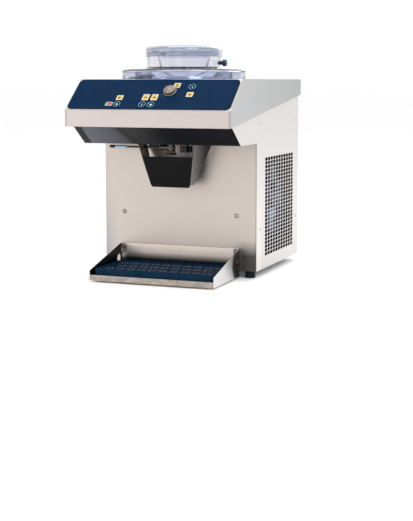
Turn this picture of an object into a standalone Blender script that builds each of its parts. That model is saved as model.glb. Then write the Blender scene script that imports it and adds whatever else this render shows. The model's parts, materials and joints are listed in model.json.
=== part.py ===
"""Countertop soft serve machine: cabinet, freezing cylinder, drive, cooling, dispensing and drip tray.

Metres, +Z up, -Y is the serving side, +X is the right-hand side seen from the front.
The origin is on the ground, under the middle of the machine's outline.
"""

import math

import bmesh
import bpy
from mathutils import Matrix, Vector

# Outline of the machine
HALF_DEPTH = 0.309
CABINET_HALF_WIDTH = 0.225
HOOD_HALF_WIDTH = 0.232
FRONT_OVERHANG = 0.230
FOOT_HEIGHT = 0.0196

# Heights of the cabinet and the hood
GAP = 0.0003
FLOOR_Z = FOOT_HEIGHT + GAP
UNDERSIDE_Z = 0.3675
LIP_BOTTOM_Z = 0.4155
LIP_TOP_Z = 0.460
HOOD_TOP_Z = 0.5396
HOOD_BACK_EDGE_Z = 0.494

# Sheet metal
SHEET = 0.0015
HOOD_SHEET = 0.002

# Places along the depth
LIP_Y = -HALF_DEPTH
PANEL_Y = LIP_Y + FRONT_OVERHANG
SEAM_Y = PANEL_Y + 0.041
NOSE_Y = PANEL_Y - 0.130
CHIN_Y = PANEL_Y - 0.197
HOOD_CREASE_Y = PANEL_Y - 0.1355
CABINET_BACK_Y = HALF_DEPTH - HOOD_SHEET - GAP
INNER_HALF_WIDTH = CABINET_HALF_WIDTH - SHEET
FOOT_PLACES = {"front": (0.200, PANEL_Y + 0.020), "rear": (0.160, CABINET_BACK_Y - 0.020)}

# Freezing cylinder, with a vertical axis
CYLINDER_Y = PANEL_Y + 0.035
CYLINDER_RADIUS = 0.125
CYLINDER_WALL = 0.003
CYLINDER_BOTTOM_Z = 0.400
CYLINDER_TOP_Z = 0.5355
COLLAR_TOP_Z = 0.549
DECK_Z = 0.392
DECK_SHEET = 0.003
JACKET_RADII = (0.1365, 0.1485)
COIL_RADIUS = 0.1325
MOUTH_RADIUS = 0.138

# Drive train
SHAFT_RADIUS = 0.009
BELT_BOTTOM_Z = 0.373
BELT_HEIGHT = 0.014
DRIVEN_PULLEY_RADIUS = 0.065
MOTOR_PULLEY_RADIUS = 0.020
MOTOR_Y = PANEL_Y + 0.250

# Dispensing head
OUTLET_Y = PANEL_Y - 0.060
OUTLET_BORE = 0.005
PLUNGER_Z = 0.356
NECK_RADIUS = 0.009
OUTLET_BOTTOM_Z = 0.3475
STAR_KNOB_PLACE = (0.040, PANEL_Y - 0.050)

# Splash guard: at each height, half widths at its front and rear edges, and how far it stands off the panel
GUARD_ROWS = (
    (0.255, 0.0575, 0.0585, 0.0386),
    (0.332, 0.0735, 0.0850, 0.0121),
    (0.3665, 0.0800, 0.0978, 0.0010),
)
GUARD_FRONT_Y = PANEL_Y - 0.063
GUARD_BOTTOM_Z = 0.248
GUARD_BOTTOM_HALF = 0.0535
GUARD_LEAN = (0.087 - 0.063) / (0.332 - 0.248)

# Lid stack
LID_RADIUS = 0.170
LID_WALL = 0.003
PLUG_RADIUS = 0.135
DOME_RADIUS = 0.101
CAP_RADIUS = 0.1045
DOME_TOP_Z = 0.614
LID_TOP_Z = 0.566
CAP_BOTTOM_Z = 0.601
CAP_TOP_Z = 0.629

# Drip tray
TRAY_HALF_WIDTH = 0.177
TRAY_SHEET = 0.0012
TRAY_BACK_Y = PANEL_Y - 0.0035
TRAY_FRONT_Y = PANEL_Y - 0.2035
TRAY_BOTTOM_Z = 0.005
STUD_PLACE = (0.167, 0.074)
SCREW_PLACE = (0.167, 0.170)
UNHOOK_LIFT = 0.012

# Side vents
VENT_ROWS = 26
VENT_PITCH = 0.0105
VENT_SLOT = 0.0082
VENT_TOP_Z = 0.3212
VENT_FRONT_Y = PANEL_Y + 0.072
VENT_BACK_Y = PANEL_Y + 0.332

# Fascia: x along the slope's width, and the distance up the slope
FASCIA_SHEET = 0.0015
BUTTON_PLACES = {
    "button_start": (-0.0865, 0.0190),
    "button_stop": (-0.0158, 0.0182),
    "button_clean": (0.0088, 0.0182),
    "button_power": (0.1038, 0.0883),
}
KNOB_PLACE = (0.0465, 0.070)

# Cooling
CONDENSER_X = (0.185, 0.215)
CONDENSER_Y = (PANEL_Y + 0.070, PANEL_Y + 0.340)
CONDENSER_Z = (0.050, 0.320)
FAN_RADIUS = 0.085
FAN_X = 0.152
FAN_PLACE = (PANEL_Y + 0.205, 0.185)
COMPRESSOR_PLACE = (-0.120, PANEL_Y + 0.120)
PIPE_RADIUS = 0.003
DRIER_RADIUS = 0.009
DRIER_Z = (0.321, 0.354)

# Finishes: colour, roughness, metallic
PANEL_PAINT = ((0.66, 0.60, 0.54), 0.45, 0.3)
CABINET_PAINT = ((0.78, 0.76, 0.73), 0.45, 0.2)
HOOD_PAINT = ((0.62, 0.60, 0.58), 0.4, 0.2)
STAINLESS = ((0.72, 0.70, 0.67), 0.22, 1.0)
CHROME = ((0.85, 0.85, 0.86), 0.08, 1.0)
GALVANISED = ((0.55, 0.56, 0.57), 0.4, 1.0)
COPPER = ((0.72, 0.38, 0.24), 0.3, 1.0)
ALUMINIUM = ((0.75, 0.76, 0.77), 0.35, 1.0)
NAVY = ((0.012, 0.05, 0.13), 0.4, 0.0)
BLACK_PLASTIC = ((0.015, 0.015, 0.017), 0.5, 0.0)
BLACK_RUBBER = ((0.02, 0.02, 0.02), 0.75, 0.0)
BLACK_ENAMEL = ((0.02, 0.02, 0.022), 0.35, 0.4)
FOAM = ((0.85, 0.80, 0.62), 0.9, 0.0)
BOARD_GREEN = ((0.02, 0.16, 0.07), 0.5, 0.0)
CLEAR_LILAC = ((0.78, 0.80, 0.90), 0.12, 0.0)


def clear_scene():
    for item in list(bpy.data.objects):
        bpy.data.objects.remove(item, do_unlink=True)


def material(name, finish):
    colour, roughness, metallic = finish
    made = bpy.data.materials.new(name)
    made.use_nodes = True
    shader = made.node_tree.nodes["Principled BSDF"]
    shader.inputs["Base Color"].default_value = (*colour, 1.0)
    shader.inputs["Roughness"].default_value = roughness
    shader.inputs["Metallic"].default_value = metallic
    if finish is CLEAR_LILAC:
        shader.inputs["Alpha"].default_value = 0.35
    return made


def add(name, data, finish, place=(0, 0, 0), direction=None):
    item = bpy.data.objects.new(name, data)
    bpy.context.collection.objects.link(item)
    item.location = place
    if direction is not None:
        item.rotation_euler = Vector(direction).to_track_quat("Z", "Y").to_euler()
    if finish is not None:
        data.materials.append(material(name, finish))
    return item


def to_mesh(shape, name, smooth=False):
    bmesh.ops.recalc_face_normals(shape, faces=shape.faces[:])
    mesh = bpy.data.meshes.new(name)
    shape.to_mesh(mesh)
    shape.free()
    if smooth:
        mesh.shade_smooth()
        mesh.set_sharp_from_angle(angle=math.radians(35))
    return mesh


def box_into(shape, low, high):
    middle = [(a + b) / 2 for a, b in zip(low, high)]
    size = [b - a for a, b in zip(low, high)]
    matrix = Matrix.Translation(middle) @ Matrix.Diagonal((*size, 1))
    return bmesh.ops.create_cube(shape, size=1, matrix=matrix)["verts"]


def boxes(name, corners):
    shape = bmesh.new()
    for low, high in corners:
        box_into(shape, low, high)
    return to_mesh(shape, name)


def prism(name, outline, axis, low, high, round_edges=0.0):
    """The outline, in the two axes that follow in X, Y, Z order, extruded along axis."""
    shape = bmesh.new()
    spots = []
    for first, second in outline:
        point = [first, second]
        point.insert("XYZ".index(axis), low)
        spots.append(shape.verts.new(point))
    face = shape.faces.new(spots)
    made = bmesh.ops.extrude_face_region(shape, geom=[face])["geom"]
    step = [0, 0, 0]
    step["XYZ".index(axis)] = high - low
    bmesh.ops.translate(shape, vec=step, verts=[v for v in made if isinstance(v, bmesh.types.BMVert)])
    if round_edges:
        bmesh.ops.recalc_face_normals(shape, faces=shape.faces[:])
        bmesh.ops.bevel(shape, geom=shape.edges[:], offset=round_edges, segments=2, affect="EDGES")
    return to_mesh(shape, name)


def turned(name, profile, steps=32, closed=False):
    """The profile of (radius, height) points spun about Z; closed for a ring."""
    shape = bmesh.new()
    spots = [shape.verts.new((radius, 0, height)) for radius, height in profile]
    pairs = list(zip(spots, spots[1:]))
    if closed:
        pairs.append((spots[-1], spots[0]))
    edges = [shape.edges.new(pair) for pair in pairs]
    bmesh.ops.spin(shape, geom=spots + edges, axis=(0, 0, 1), cent=(0, 0, 0),
                   angle=math.tau, steps=steps, use_merge=True)
    bmesh.ops.remove_doubles(shape, verts=shape.verts[:], dist=1e-6)
    return to_mesh(shape, name, smooth=True)


def rod(radius, low, high, steps=24):
    """A cylinder, turned a little so that its edges miss those of the piece it cuts or joins."""
    mesh = turned("rod", [(0, low), (radius, low), (radius, high), (0, high)], steps)
    mesh.transform(Matrix.Rotation(0.11, 4, "Z"))
    return mesh


def ring(name, inner, outer, low, high, steps=32):
    return turned(name, [(inner, low), (outer, low), (outer, high), (inner, high)], steps, closed=True)


def combine(target, tool, operation="DIFFERENCE"):
    """Cut or join with a helper object, which the build leaves out."""
    tool.name = target.name + "_tool"
    tool.hide_render = True
    tool.display_type = "WIRE"
    step = target.modifiers.new(operation.title(), "BOOLEAN")
    step.operation = operation
    step.solver = "EXACT"
    step.object = tool


def cut(target, data, place=(0, 0, 0), direction=None):
    combine(target, add("tool", data, None, place, direction))


def join(target, data, place=(0, 0, 0), direction=None):
    combine(target, add("tool", data, None, place, direction), "UNION")


def rounded_path(corners, radius, steps=4):
    """The corner points with each inner corner replaced by an arc-like bend."""
    spots = [Vector(corner) for corner in corners]
    path = [spots[0]]
    for before, corner, after in zip(spots, spots[1:], spots[2:]):
        start = corner + (before - corner).normalized() * radius
        end = corner + (after - corner).normalized() * radius
        for step in range(steps + 1):
            t = step / steps
            path.append(start * (1 - t) ** 2 + corner * 2 * t * (1 - t) + end * t ** 2)
    path.append(spots[-1])
    return path


def pipe(name, path, radius, finish, resolution=1):
    curve = bpy.data.curves.new(name, "CURVE")
    curve.dimensions = "3D"
    curve.bevel_depth = radius
    curve.bevel_resolution = resolution
    curve.use_fill_caps = True
    spline = curve.splines.new("POLY")
    spline.points.add(len(path) - 1)
    for point, spot in zip(spline.points, path):
        point.co = (*spot, 1)
        point.radius = 1
    return add(name, curve, finish)


def hood_edge_z(y):
    """Height of the hood's lower edge, which rises from the lip to the back."""
    return LIP_BOTTOM_Z + (y + HALF_DEPTH) * (HOOD_BACK_EDGE_Z - LIP_BOTTOM_Z) / (2 * HALF_DEPTH)


def slope_frame(x, along, out):
    """World place of a point on the control slope, out along its normal."""
    run = Vector((0, HOOD_CREASE_Y - LIP_Y, HOOD_TOP_Z - LIP_TOP_Z)).normalized()
    normal = Vector((0, -run.z, run.y))
    return Vector((x, LIP_Y, LIP_TOP_Z)) + run * along + normal * out, run, normal


# Cabinet

def floor_pan():
    low = (-INNER_HALF_WIDTH + GAP, PANEL_Y + SHEET + GAP, FLOOR_Z)
    high = (INNER_HALF_WIDTH - GAP, CABINET_BACK_Y - SHEET - GAP, FLOOR_Z + 0.014)
    pan = add("floor_pan", boxes("floor_pan", [(low, high)]), GALVANISED)
    inner_low = (low[0] + SHEET, low[1] + SHEET, FLOOR_Z + SHEET)
    inner_high = (high[0] - SHEET, high[1] - SHEET, FLOOR_Z + 0.03)
    cut(pan, boxes("well", [(inner_low, inner_high)]))


def feet():
    profile = [(0, 0), (0.0135, 0), (0.0145, 0.002), (0.0125, FOOT_HEIGHT), (0, FOOT_HEIGHT)]
    for end, (x, y) in FOOT_PLACES.items():
        for side, sign in (("left", -1), ("right", 1)):
            name = f"foot_{end}_{side}"
            add(name, turned(name, profile, 20), BLACK_RUBBER, (sign * x, y, 0))


def front_panel():
    low = (-INNER_HALF_WIDTH + GAP, PANEL_Y, FLOOR_Z)
    high = (INNER_HALF_WIDTH - GAP, PANEL_Y + SHEET, UNDERSIDE_Z - GAP)
    panel = add("front_panel", boxes("front_panel", [(low, high)]), PANEL_PAINT)
    for x, z in (STUD_PLACE, SCREW_PLACE):
        for side in (-1, 1):
            cut(panel, rod(0.0034, -0.01, 0.01, 12), (side * x, PANEL_Y, z), (0, 1, 0))


def cheek(side, sign):
    top = 0.020
    outline = [
        (PANEL_Y, FLOOR_Z),
        (SEAM_Y, FLOOR_Z),
        (SEAM_Y, hood_edge_z(SEAM_Y) + top),
        (CHIN_Y, hood_edge_z(CHIN_Y) + top),
        (CHIN_Y, LIP_BOTTOM_Z + GAP),
        (NOSE_Y, UNDERSIDE_Z),
        (PANEL_Y, UNDERSIDE_Z),
    ]
    low, high = sorted((sign * INNER_HALF_WIDTH, sign * CABINET_HALF_WIDTH))
    name = f"cheek_{side}"
    add(name, prism(name, outline, "X", low, high), CABINET_PAINT)


def side_panel(side, sign):
    top = 0.020
    front = SEAM_Y + GAP
    outline = [
        (front, FLOOR_Z),
        (CABINET_BACK_Y, FLOOR_Z),
        (CABINET_BACK_Y, hood_edge_z(CABINET_BACK_Y) + top),
        (front, hood_edge_z(front) + top),
    ]
    low, high = sorted((sign * INNER_HALF_WIDTH, sign * CABINET_HALF_WIDTH))
    name = f"side_panel_{side}"
    panel = add(name, prism(name, outline, "X", low, high), CABINET_PAINT)
    slots = []
    for row in range(VENT_ROWS):
        middle = VENT_TOP_Z - row * VENT_PITCH
        slots.append(((low - 0.01, VENT_FRONT_Y, middle - VENT_SLOT / 2),
                      (high + 0.01, VENT_BACK_Y, middle + VENT_SLOT / 2)))
    cut(panel, boxes("slots", slots))


def back_panel():
    low = (-INNER_HALF_WIDTH + GAP, CABINET_BACK_Y - SHEET, FLOOR_Z)
    high = (INNER_HALF_WIDTH - GAP, CABINET_BACK_Y, HOOD_BACK_EDGE_Z + 0.012)
    panel = add("back_panel", boxes("back_panel", [(low, high)]), CABINET_PAINT)
    holes = [((-0.1705, 0.2, 0.066), (-0.1295, 0.4, 0.094))]
    for row in range(8):
        middle = 0.20 + row * 0.018
        holes.append(((-0.10, 0.2, middle - 0.004), (0.10, 0.4, middle + 0.004)))
    cut(panel, boxes("holes", holes))


def console_underside():
    """The bent sheet under the overhang: flat, then rising to the lip."""
    rise = (LIP_BOTTOM_Z - UNDERSIDE_Z) / (CHIN_Y - NOSE_Y)
    lean = SHEET * (math.hypot(1, rise) + rise)
    outline = [
        (PANEL_Y + 0.015, UNDERSIDE_Z),
        (NOSE_Y, UNDERSIDE_Z),
        (CHIN_Y, LIP_BOTTOM_Z + GAP),
        (LIP_Y + HOOD_SHEET + GAP, LIP_BOTTOM_Z + GAP),
        (LIP_Y + HOOD_SHEET + GAP, LIP_BOTTOM_Z + GAP + SHEET),
        (CHIN_Y + lean, LIP_BOTTOM_Z + GAP + SHEET),
        (NOSE_Y + lean, UNDERSIDE_Z + SHEET),
        (PANEL_Y + 0.015, UNDERSIDE_Z + SHEET),
    ]
    half = INNER_HALF_WIDTH - GAP
    sheet = add("console_underside", prism("console_underside", outline, "X", -half, half), BLACK_ENAMEL)
    cut(sheet, rod(0.0165, 0.3, 0.4), (0, OUTLET_Y, 0))
    cut(sheet, rod(0.0045, 0.3, 0.4, 12), (*STAR_KNOB_PLACE, 0))


def hood_outline(inset):
    """Side view of the hood, drawn in by the inset on all but its open lower edge."""
    return [
        (LIP_Y + inset, LIP_BOTTOM_Z),
        (LIP_Y + inset, LIP_TOP_Z - inset * 0.35),
        (HOOD_CREASE_Y + inset * 0.35, HOOD_TOP_Z - inset),
        (HALF_DEPTH - inset, HOOD_TOP_Z - inset),
        (HALF_DEPTH - inset, HOOD_BACK_EDGE_Z),
    ]


def hood():
    outer = prism("hood", hood_outline(0), "X", -HOOD_HALF_WIDTH, HOOD_HALF_WIDTH, 0.0015)
    shell = add("hood", outer, HOOD_PAINT)
    half = HOOD_HALF_WIDTH - HOOD_SHEET
    inner = hood_outline(HOOD_SHEET)
    inner.append((HALF_DEPTH - HOOD_SHEET, LIP_BOTTOM_Z - 0.05))
    inner.insert(0, (LIP_Y + HOOD_SHEET, LIP_BOTTOM_Z - 0.05))
    cut(shell, prism("room", inner, "X", -half, half))
    cut(shell, rod(MOUTH_RADIUS, 0.5, 0.6, 48), (0, CYLINDER_Y, 0))
    for place in list(BUTTON_PLACES.values()) + [KNOB_PLACE]:
        spot, _, normal = slope_frame(*place, 0)
        cut(shell, rod(0.004, -0.01, 0.01, 12), spot, normal)


def control_fascia():
    """Navy plate on the slope, with rounded corners and holes for the stems."""
    half, low, high, radius, steps = 0.2285, 0.0035, 0.1205, 0.013, 4
    outline = []
    for turn, (x, along) in enumerate(((half, high), (-half, high), (-half, low), (half, low))):
        middle = (x - math.copysign(radius, x), along - math.copysign(radius, along - 0.06))
        for step in range(steps + 1):
            angle = math.radians(90 * turn + 90 * step / steps)
            outline.append((middle[0] + radius * math.cos(angle), middle[1] + radius * math.sin(angle)))
    plate = prism("control_fascia", outline, "Z", 0, FASCIA_SHEET)
    place, run, normal = slope_frame(0, 0, GAP)
    item = add("control_fascia", plate, NAVY, place)
    item.rotation_euler = Matrix((Vector((1, 0, 0)), run, normal)).transposed().to_euler()
    for spot in list(BUTTON_PLACES.values()) + [KNOB_PLACE]:
        cut(item, rod(0.004, -0.01, 0.01, 12), slope_frame(*spot, 0)[0], normal)


def buttons_and_knob():
    cap = [(0, -0.008), (0.002, -0.008), (0.002, 0.003), (0.010, 0.003), (0.010, 0.0042),
           (0.0092, 0.005), (0, 0.005)]
    for name, spot in BUTTON_PLACES.items():
        place, _, normal = slope_frame(*spot, 0)
        add(name, turned(name, cap, 24), STAINLESS, place, normal)
    grip = [(0, -0.010), (0.003, -0.010), (0.003, 0.0024), (0.0185, 0.0024), (0.0185, 0.0045),
            (0.0170, 0.006), (0.0164, 0.0120), (0.0150, 0.0132), (0, 0.0132)]
    place, _, normal = slope_frame(*KNOB_PLACE, 0)
    add("control_knob", turned("control_knob", grip, 24), CHROME, place, normal)


def control_board():
    place, run, normal = slope_frame(0, 0.055, -0.0145)
    board = boxes("control_board", [((-0.13, -0.042, -0.001), (0.13, 0.042, 0.001))])
    item = add("control_board", board, BOARD_GREEN, place)
    item.rotation_euler = Matrix((Vector((1, 0, 0)), run, normal)).transposed().to_euler()


def power_inlet():
    """Mains socket: a flange outside the back panel and a body through it."""
    face = CABINET_BACK_Y
    body = boxes("power_inlet", [((-0.170, face - 0.022, 0.0665), (-0.130, face + 0.001, 0.0935))])
    inlet = add("power_inlet", body, BLACK_PLASTIC)
    join(inlet, boxes("flange", [((-0.175, face + GAP, 0.062), (-0.125, face + 0.0022, 0.098))]))
    cut(inlet, boxes("well", [((-0.163, face - 0.016, 0.071), (-0.137, face + 0.01, 0.089))]))


# Freezing cylinder and drive

def deck_plate():
    """Shelf that carries the freezing cylinder, with the motor's bracket welded under it."""
    half = INNER_HALF_WIDTH - GAP
    low = (-half, -0.225, DECK_Z)
    high = (half, CABINET_BACK_Y - SHEET - GAP, DECK_Z + DECK_SHEET)
    deck = add("deck_plate", boxes("deck_plate", [(low, high)]), GALVANISED)
    top, seat, sheet = DECK_Z + 0.001, 0.3663, 0.0025
    bracket = [
        (-0.060, top), (-0.060, seat), (0.060, seat), (0.060, top),
        (0.060 - sheet, top), (0.060 - sheet, seat + sheet),
        (-0.060 + sheet, seat + sheet), (-0.060 + sheet, top),
    ]
    join(deck, prism("bracket", bracket, "Y", MOTOR_Y - 0.055, MOTOR_Y + 0.055))
    cut(deck, rod(0.008, 0.36, 0.38, 16), (0, MOTOR_Y, 0))
    cut(deck, rod(0.0225, 0.38, 0.41), (0, CYLINDER_Y, 0))
    cut(deck, rod(0.0165, 0.38, 0.41), (0, OUTLET_Y, 0))
    for side in (-1, 1):
        cut(deck, rod(0.0045, 0.38, 0.41, 12), (side * COIL_RADIUS, CYLINDER_Y, 0))


def freezing_cylinder():
    """Steel tub with a flange under the hood and a collar that stands up through its mouth."""
    hole, inner, wall = SHAFT_RADIUS + GAP, CYLINDER_RADIUS, CYLINDER_WALL
    outer, flange = inner + wall, 0.152
    bottom, top = CYLINDER_BOTTOM_Z, CYLINDER_TOP_Z
    profile = [
        (hole, bottom), (outer, bottom), (outer, top - wall), (flange, top - wall),
        (flange, top), (outer, top), (outer, COLLAR_TOP_Z), (inner, COLLAR_TOP_Z),
        (inner, bottom + wall), (hole, bottom + wall),
    ]
    mesh = turned("freezing_cylinder", profile, 40, closed=True)
    barrel = add("freezing_cylinder", mesh, STAINLESS, (0, CYLINDER_Y, 0))
    cut(barrel, rod(OUTLET_BORE, 0.39, 0.41, 12), (0, OUTLET_Y, 0))


def insulation():
    low, high = DECK_Z + DECK_SHEET + GAP, CYLINDER_TOP_Z - CYLINDER_WALL - GAP
    jacket = ring("insulation_jacket", *JACKET_RADII, low, high, 40)
    add("insulation_jacket", jacket, FOAM, (0, CYLINDER_Y, 0))


def evaporator_coil():
    turns, steps = 4, 24
    path = []
    for step in range(turns * steps + 1):
        angle = math.pi + math.tau * step / steps
        height = 0.410 + (0.522 - 0.410) * step / (turns * steps)
        path.append((COIL_RADIUS * math.cos(angle), CYLINDER_Y + COIL_RADIUS * math.sin(angle), height))
    pipe("evaporator_coil", path, PIPE_RADIUS, COPPER, 0)


def beater():
    """Hub with three L-shaped scraper arms, on the drive shaft's top end."""
    hub = [(0, 0.505), (0.012, 0.505), (0.018, 0.495), (0.018, 0.4075), (SHAFT_RADIUS + GAP, 0.4075),
           (SHAFT_RADIUS + GAP, 0.4453), (0, 0.4453)]
    item = add("beater", turned("beater", hub, 24), NAVY, (0, CYLINDER_Y, 0))
    arm = [(0.0135, 0.411), (0.1205, 0.411), (0.1235, 0.425), (0.1235, 0.524), (0.110, 0.524),
           (0.106, 0.430), (0.0135, 0.424)]
    arms = bmesh.new()
    for turn in range(3):
        blade = prism("arm", arm, "Y", -0.003, 0.003)
        blade.transform(Matrix.Rotation(math.tau * turn / 3 + 0.5, 4, "Z"))
        arms.from_mesh(blade)
    join(item, to_mesh(arms, "arms"), (0, CYLINDER_Y, 0))


def drive_train():
    axis = (0, CYLINDER_Y, 0)
    add("drive_shaft", rod(SHAFT_RADIUS, 0.3705, 0.445, 24), STAINLESS, axis)
    bearing = ring("bearing_housing", SHAFT_RADIUS + GAP, 0.0222, 0.3885, CYLINDER_BOTTOM_Z - GAP, 24)
    add("bearing_housing", bearing, ALUMINIUM, axis)
    top = BELT_BOTTOM_Z + BELT_HEIGHT
    wheel = ring("driven_pulley", SHAFT_RADIUS + GAP, DRIVEN_PULLEY_RADIUS, BELT_BOTTOM_Z, top, 32)
    add("driven_pulley", wheel, ALUMINIUM, axis)
    spindle = [(0, 0.3505), (0.006, 0.3505), (0.006, BELT_BOTTOM_Z), (MOTOR_PULLEY_RADIUS, BELT_BOTTOM_Z),
               (MOTOR_PULLEY_RADIUS, top), (0, top)]
    add("motor_pulley", turned("motor_pulley", spindle, 24), ALUMINIUM, (0, MOTOR_Y, 0))


def belt_loop(extra):
    """Outline of the belt round both pulleys, in X and Y."""
    span = MOTOR_Y - CYLINDER_Y
    lean = math.asin((DRIVEN_PULLEY_RADIUS - MOTOR_PULLEY_RADIUS) / span)
    outline = []
    for middle, radius, start, sweep in (
        (MOTOR_Y, MOTOR_PULLEY_RADIUS, lean, math.pi - 2 * lean),
        (CYLINDER_Y, DRIVEN_PULLEY_RADIUS, math.pi - lean, math.pi + 2 * lean),
    ):
        for step in range(17):
            angle = start + sweep * step / 16
            reach = radius + extra
            outline.append((reach * math.cos(angle), middle + reach * math.sin(angle)))
    return outline


def drive_belt():
    low, high = BELT_BOTTOM_Z + 0.001, BELT_BOTTOM_Z + BELT_HEIGHT - 0.001
    item = add("drive_belt", prism("drive_belt", belt_loop(0.0035), "Z", low, high), BLACK_RUBBER)
    cut(item, prism("inside", belt_loop(0.0010), "Z", low - 0.01, high + 0.01))


def motor():
    body = [(0, 0.200), (0.046, 0.200), (0.050, 0.206), (0.050, 0.338), (0.036, 0.346), (0.036, 0.366),
            (0.0075, 0.366), (0.0075, 0.350), (0, 0.350)]
    add("motor", turned("motor", body, 24), BLACK_ENAMEL, (0, MOTOR_Y, 0))


# Cooling

def compressor():
    shell = [(0, 0.0225), (0.048, 0.0225), (0.060, 0.045), (0.060, 0.165), (0.052, 0.188),
             (0.030, 0.200), (0, 0.2035)]
    add("compressor", turned("compressor", shell, 24), BLACK_ENAMEL, (*COMPRESSOR_PLACE, 0))


def condenser():
    """Block with level grooves in its outer face, inside a 6 mm rim."""
    low, high = zip(CONDENSER_X, CONDENSER_Y, CONDENSER_Z)
    item = add("condenser", boxes("condenser", [(low, high)]), ALUMINIUM)
    rim, pitch, half = 0.006, 0.015, 0.005
    grooves = []
    for row in range(17):
        middle = low[2] + pitch * (row + 1)
        start = (low[0] + rim, low[1] + rim, middle - half)
        grooves.append((start, (high[0] + 0.01, high[1] - rim, middle + half)))
    cut(item, boxes("grooves", grooves))


def fan_assembly():
    y, z = FAN_PLACE
    across = (1, 0, 0)
    low = (0.168, CONDENSER_Y[0], CONDENSER_Z[0])
    high = (CONDENSER_X[0] - GAP, CONDENSER_Y[1], CONDENSER_Z[1])
    shroud = add("fan_shroud", boxes("fan_shroud", [(low, high)]), BLACK_PLASTIC)
    cut(shroud, rod(0.090, -0.1, 0.1, 36), (0.17, y, z), across)
    hub = [(0, -0.0118), (0.019, -0.0118), (0.019, 0.006), (0.013, 0.010), (0, 0.010)]
    fan = add("condenser_fan", turned("condenser_fan", hub, 20), BLACK_PLASTIC, (FAN_X, y, z), across)
    blades = bmesh.new()
    for turn in range(5):
        spots = box_into(blades, (0.015, -0.018, -0.001), (FAN_RADIUS, 0.018, 0.001))
        lean = Matrix.Rotation(math.radians(30), 4, "X")
        bmesh.ops.transform(blades, matrix=Matrix.Rotation(math.tau * turn / 5, 4, "Z") @ lean, verts=spots)
    join(fan, to_mesh(blades, "blades"), (FAN_X, y, z), across)
    can = [(0, -0.040), (0.022, -0.040), (0.025, -0.036), (0.025, -0.005), (0.010, -0.001), (0, -0.001)]
    add("fan_motor", turned("fan_motor", can, 24), GALVANISED, (FAN_X - 0.0122, y, z), across)
    arm_x = FAN_X - 0.0122 - 0.040 - GAP
    arm = [(arm_x - 0.003, z - 0.125), (0.175, z - 0.125), (0.175, z - 0.121), (arm_x, z - 0.121),
           (arm_x, z + 0.121), (0.175, z + 0.121), (0.175, z + 0.125), (arm_x - 0.003, z + 0.125)]
    join(shroud, prism("arm", arm, "Y", y - 0.012, y + 0.012))


def pipes():
    x, y = COMPRESSOR_PLACE
    front = PANEL_Y + 0.048
    discharge = [(x + 0.0605, y, 0.08), (-0.035, y, 0.08), (-0.035, front, 0.08), (0.20, front, 0.08),
                 (0.20, CONDENSER_Y[0] - 0.0005, 0.08)]
    suction = [(-COIL_RADIUS, CYLINDER_Y, 0.403), (-COIL_RADIUS, CYLINDER_Y, 0.30),
               (x, y, 0.28), (x, y, 0.2045)]
    for name, corners in (("suction_line", suction), ("discharge_line", discharge)):
        pipe(name, rounded_path(corners, 0.009), PIPE_RADIUS, COPPER)


def condensed_line():
    """Pipe from the condenser up to the coil, swelling into the filter drier on its upright run."""
    front = PANEL_Y + 0.048
    corners = [(0.20, CONDENSER_Y[0] - 0.0005, 0.28), (0.20, front, 0.28), (COIL_RADIUS, front, 0.28),
               (COIL_RADIUS, CYLINDER_Y, 0.295), (COIL_RADIUS, CYLINDER_Y, 0.3145)]
    low, high = DRIER_Z
    upright = [(COIL_RADIUS, CYLINDER_Y, z) for z in (low, high, high + 0.006, 0.403)]
    line = pipe("condensed_line", rounded_path(corners, 0.009) + upright, PIPE_RADIUS, COPPER)
    for point in line.data.splines[0].points:
        if low - GAP < point.co.z < high + GAP:
            point.radius = DRIER_RADIUS / PIPE_RADIUS


# Dispensing head

def outlet():
    """Valve body under the cylinder, and the nozzle on its neck."""
    place, across = (0, OUTLET_Y, PLUNGER_Z), (1, 0, 0)
    low, high = OUTLET_BOTTOM_Z, CYLINDER_BOTTOM_Z - GAP
    neck = [(0, low), (NECK_RADIUS, low), (NECK_RADIUS, 0.3655), (0.016, 0.3695), (0.016, high), (0, high)]
    body = add("outlet_body", turned("outlet_body", neck, 24), STAINLESS, (0, OUTLET_Y, 0))
    join(body, rod(0.0085, -0.030, 0.010, 20), place, across)
    cut(body, rod(0.0065, -0.040, 0.0076, 20), place, across)
    cut(body, rod(OUTLET_BORE, 0.33, 0.41, 16), (0, OUTLET_Y, 0))
    top = low - GAP
    tip = [(OUTLET_BORE, 0.336), (0.0145, 0.336), (0.015, 0.337), (0.015, 0.341), (NECK_RADIUS, 0.3415),
           (NECK_RADIUS, top), (OUTLET_BORE, top)]
    add("nozzle", turned("nozzle", tip, 24, closed=True), STAINLESS, (0, OUTLET_Y, 0))


def draw_rod():
    """Plunger of the outlet and the rod that pulls it, along -X."""
    place, across = (0, OUTLET_Y, PLUNGER_Z), (1, 0, 0)
    add("valve_plunger", rod(0.0062, -0.0150, 0.0070, 20), BLACK_PLASTIC, place, across)
    add("draw_rod", rod(0.00275, -0.168, -0.0153, 16), CHROME, place, across)
    grip = [(0, -0.182), (0.0035, -0.182), (0.0042, -0.180), (0.0042, -0.1683), (0, -0.1683)]
    add("rod_tip", turned("rod_tip", grip, 16), BLACK_PLASTIC, place, across)


def star_knob():
    """Lobed clamp knob under the overhang, with a stem into the console."""
    lobes, steps = 6, 36
    outline = []
    for step in range(steps):
        angle = math.tau * step / steps
        reach = 0.0160 + 0.0018 * math.cos(lobes * angle)
        outline.append((reach * math.cos(angle), reach * math.sin(angle)))
    grip = prism("star_knob", outline, "Z", 0.343, 0.360)
    knob = add("star_knob", grip, BLACK_PLASTIC, (*STAR_KNOB_PLACE, 0))
    join(knob, rod(0.004, 0.355, 0.3845, 16), (*STAR_KNOB_PLACE, 0))


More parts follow.
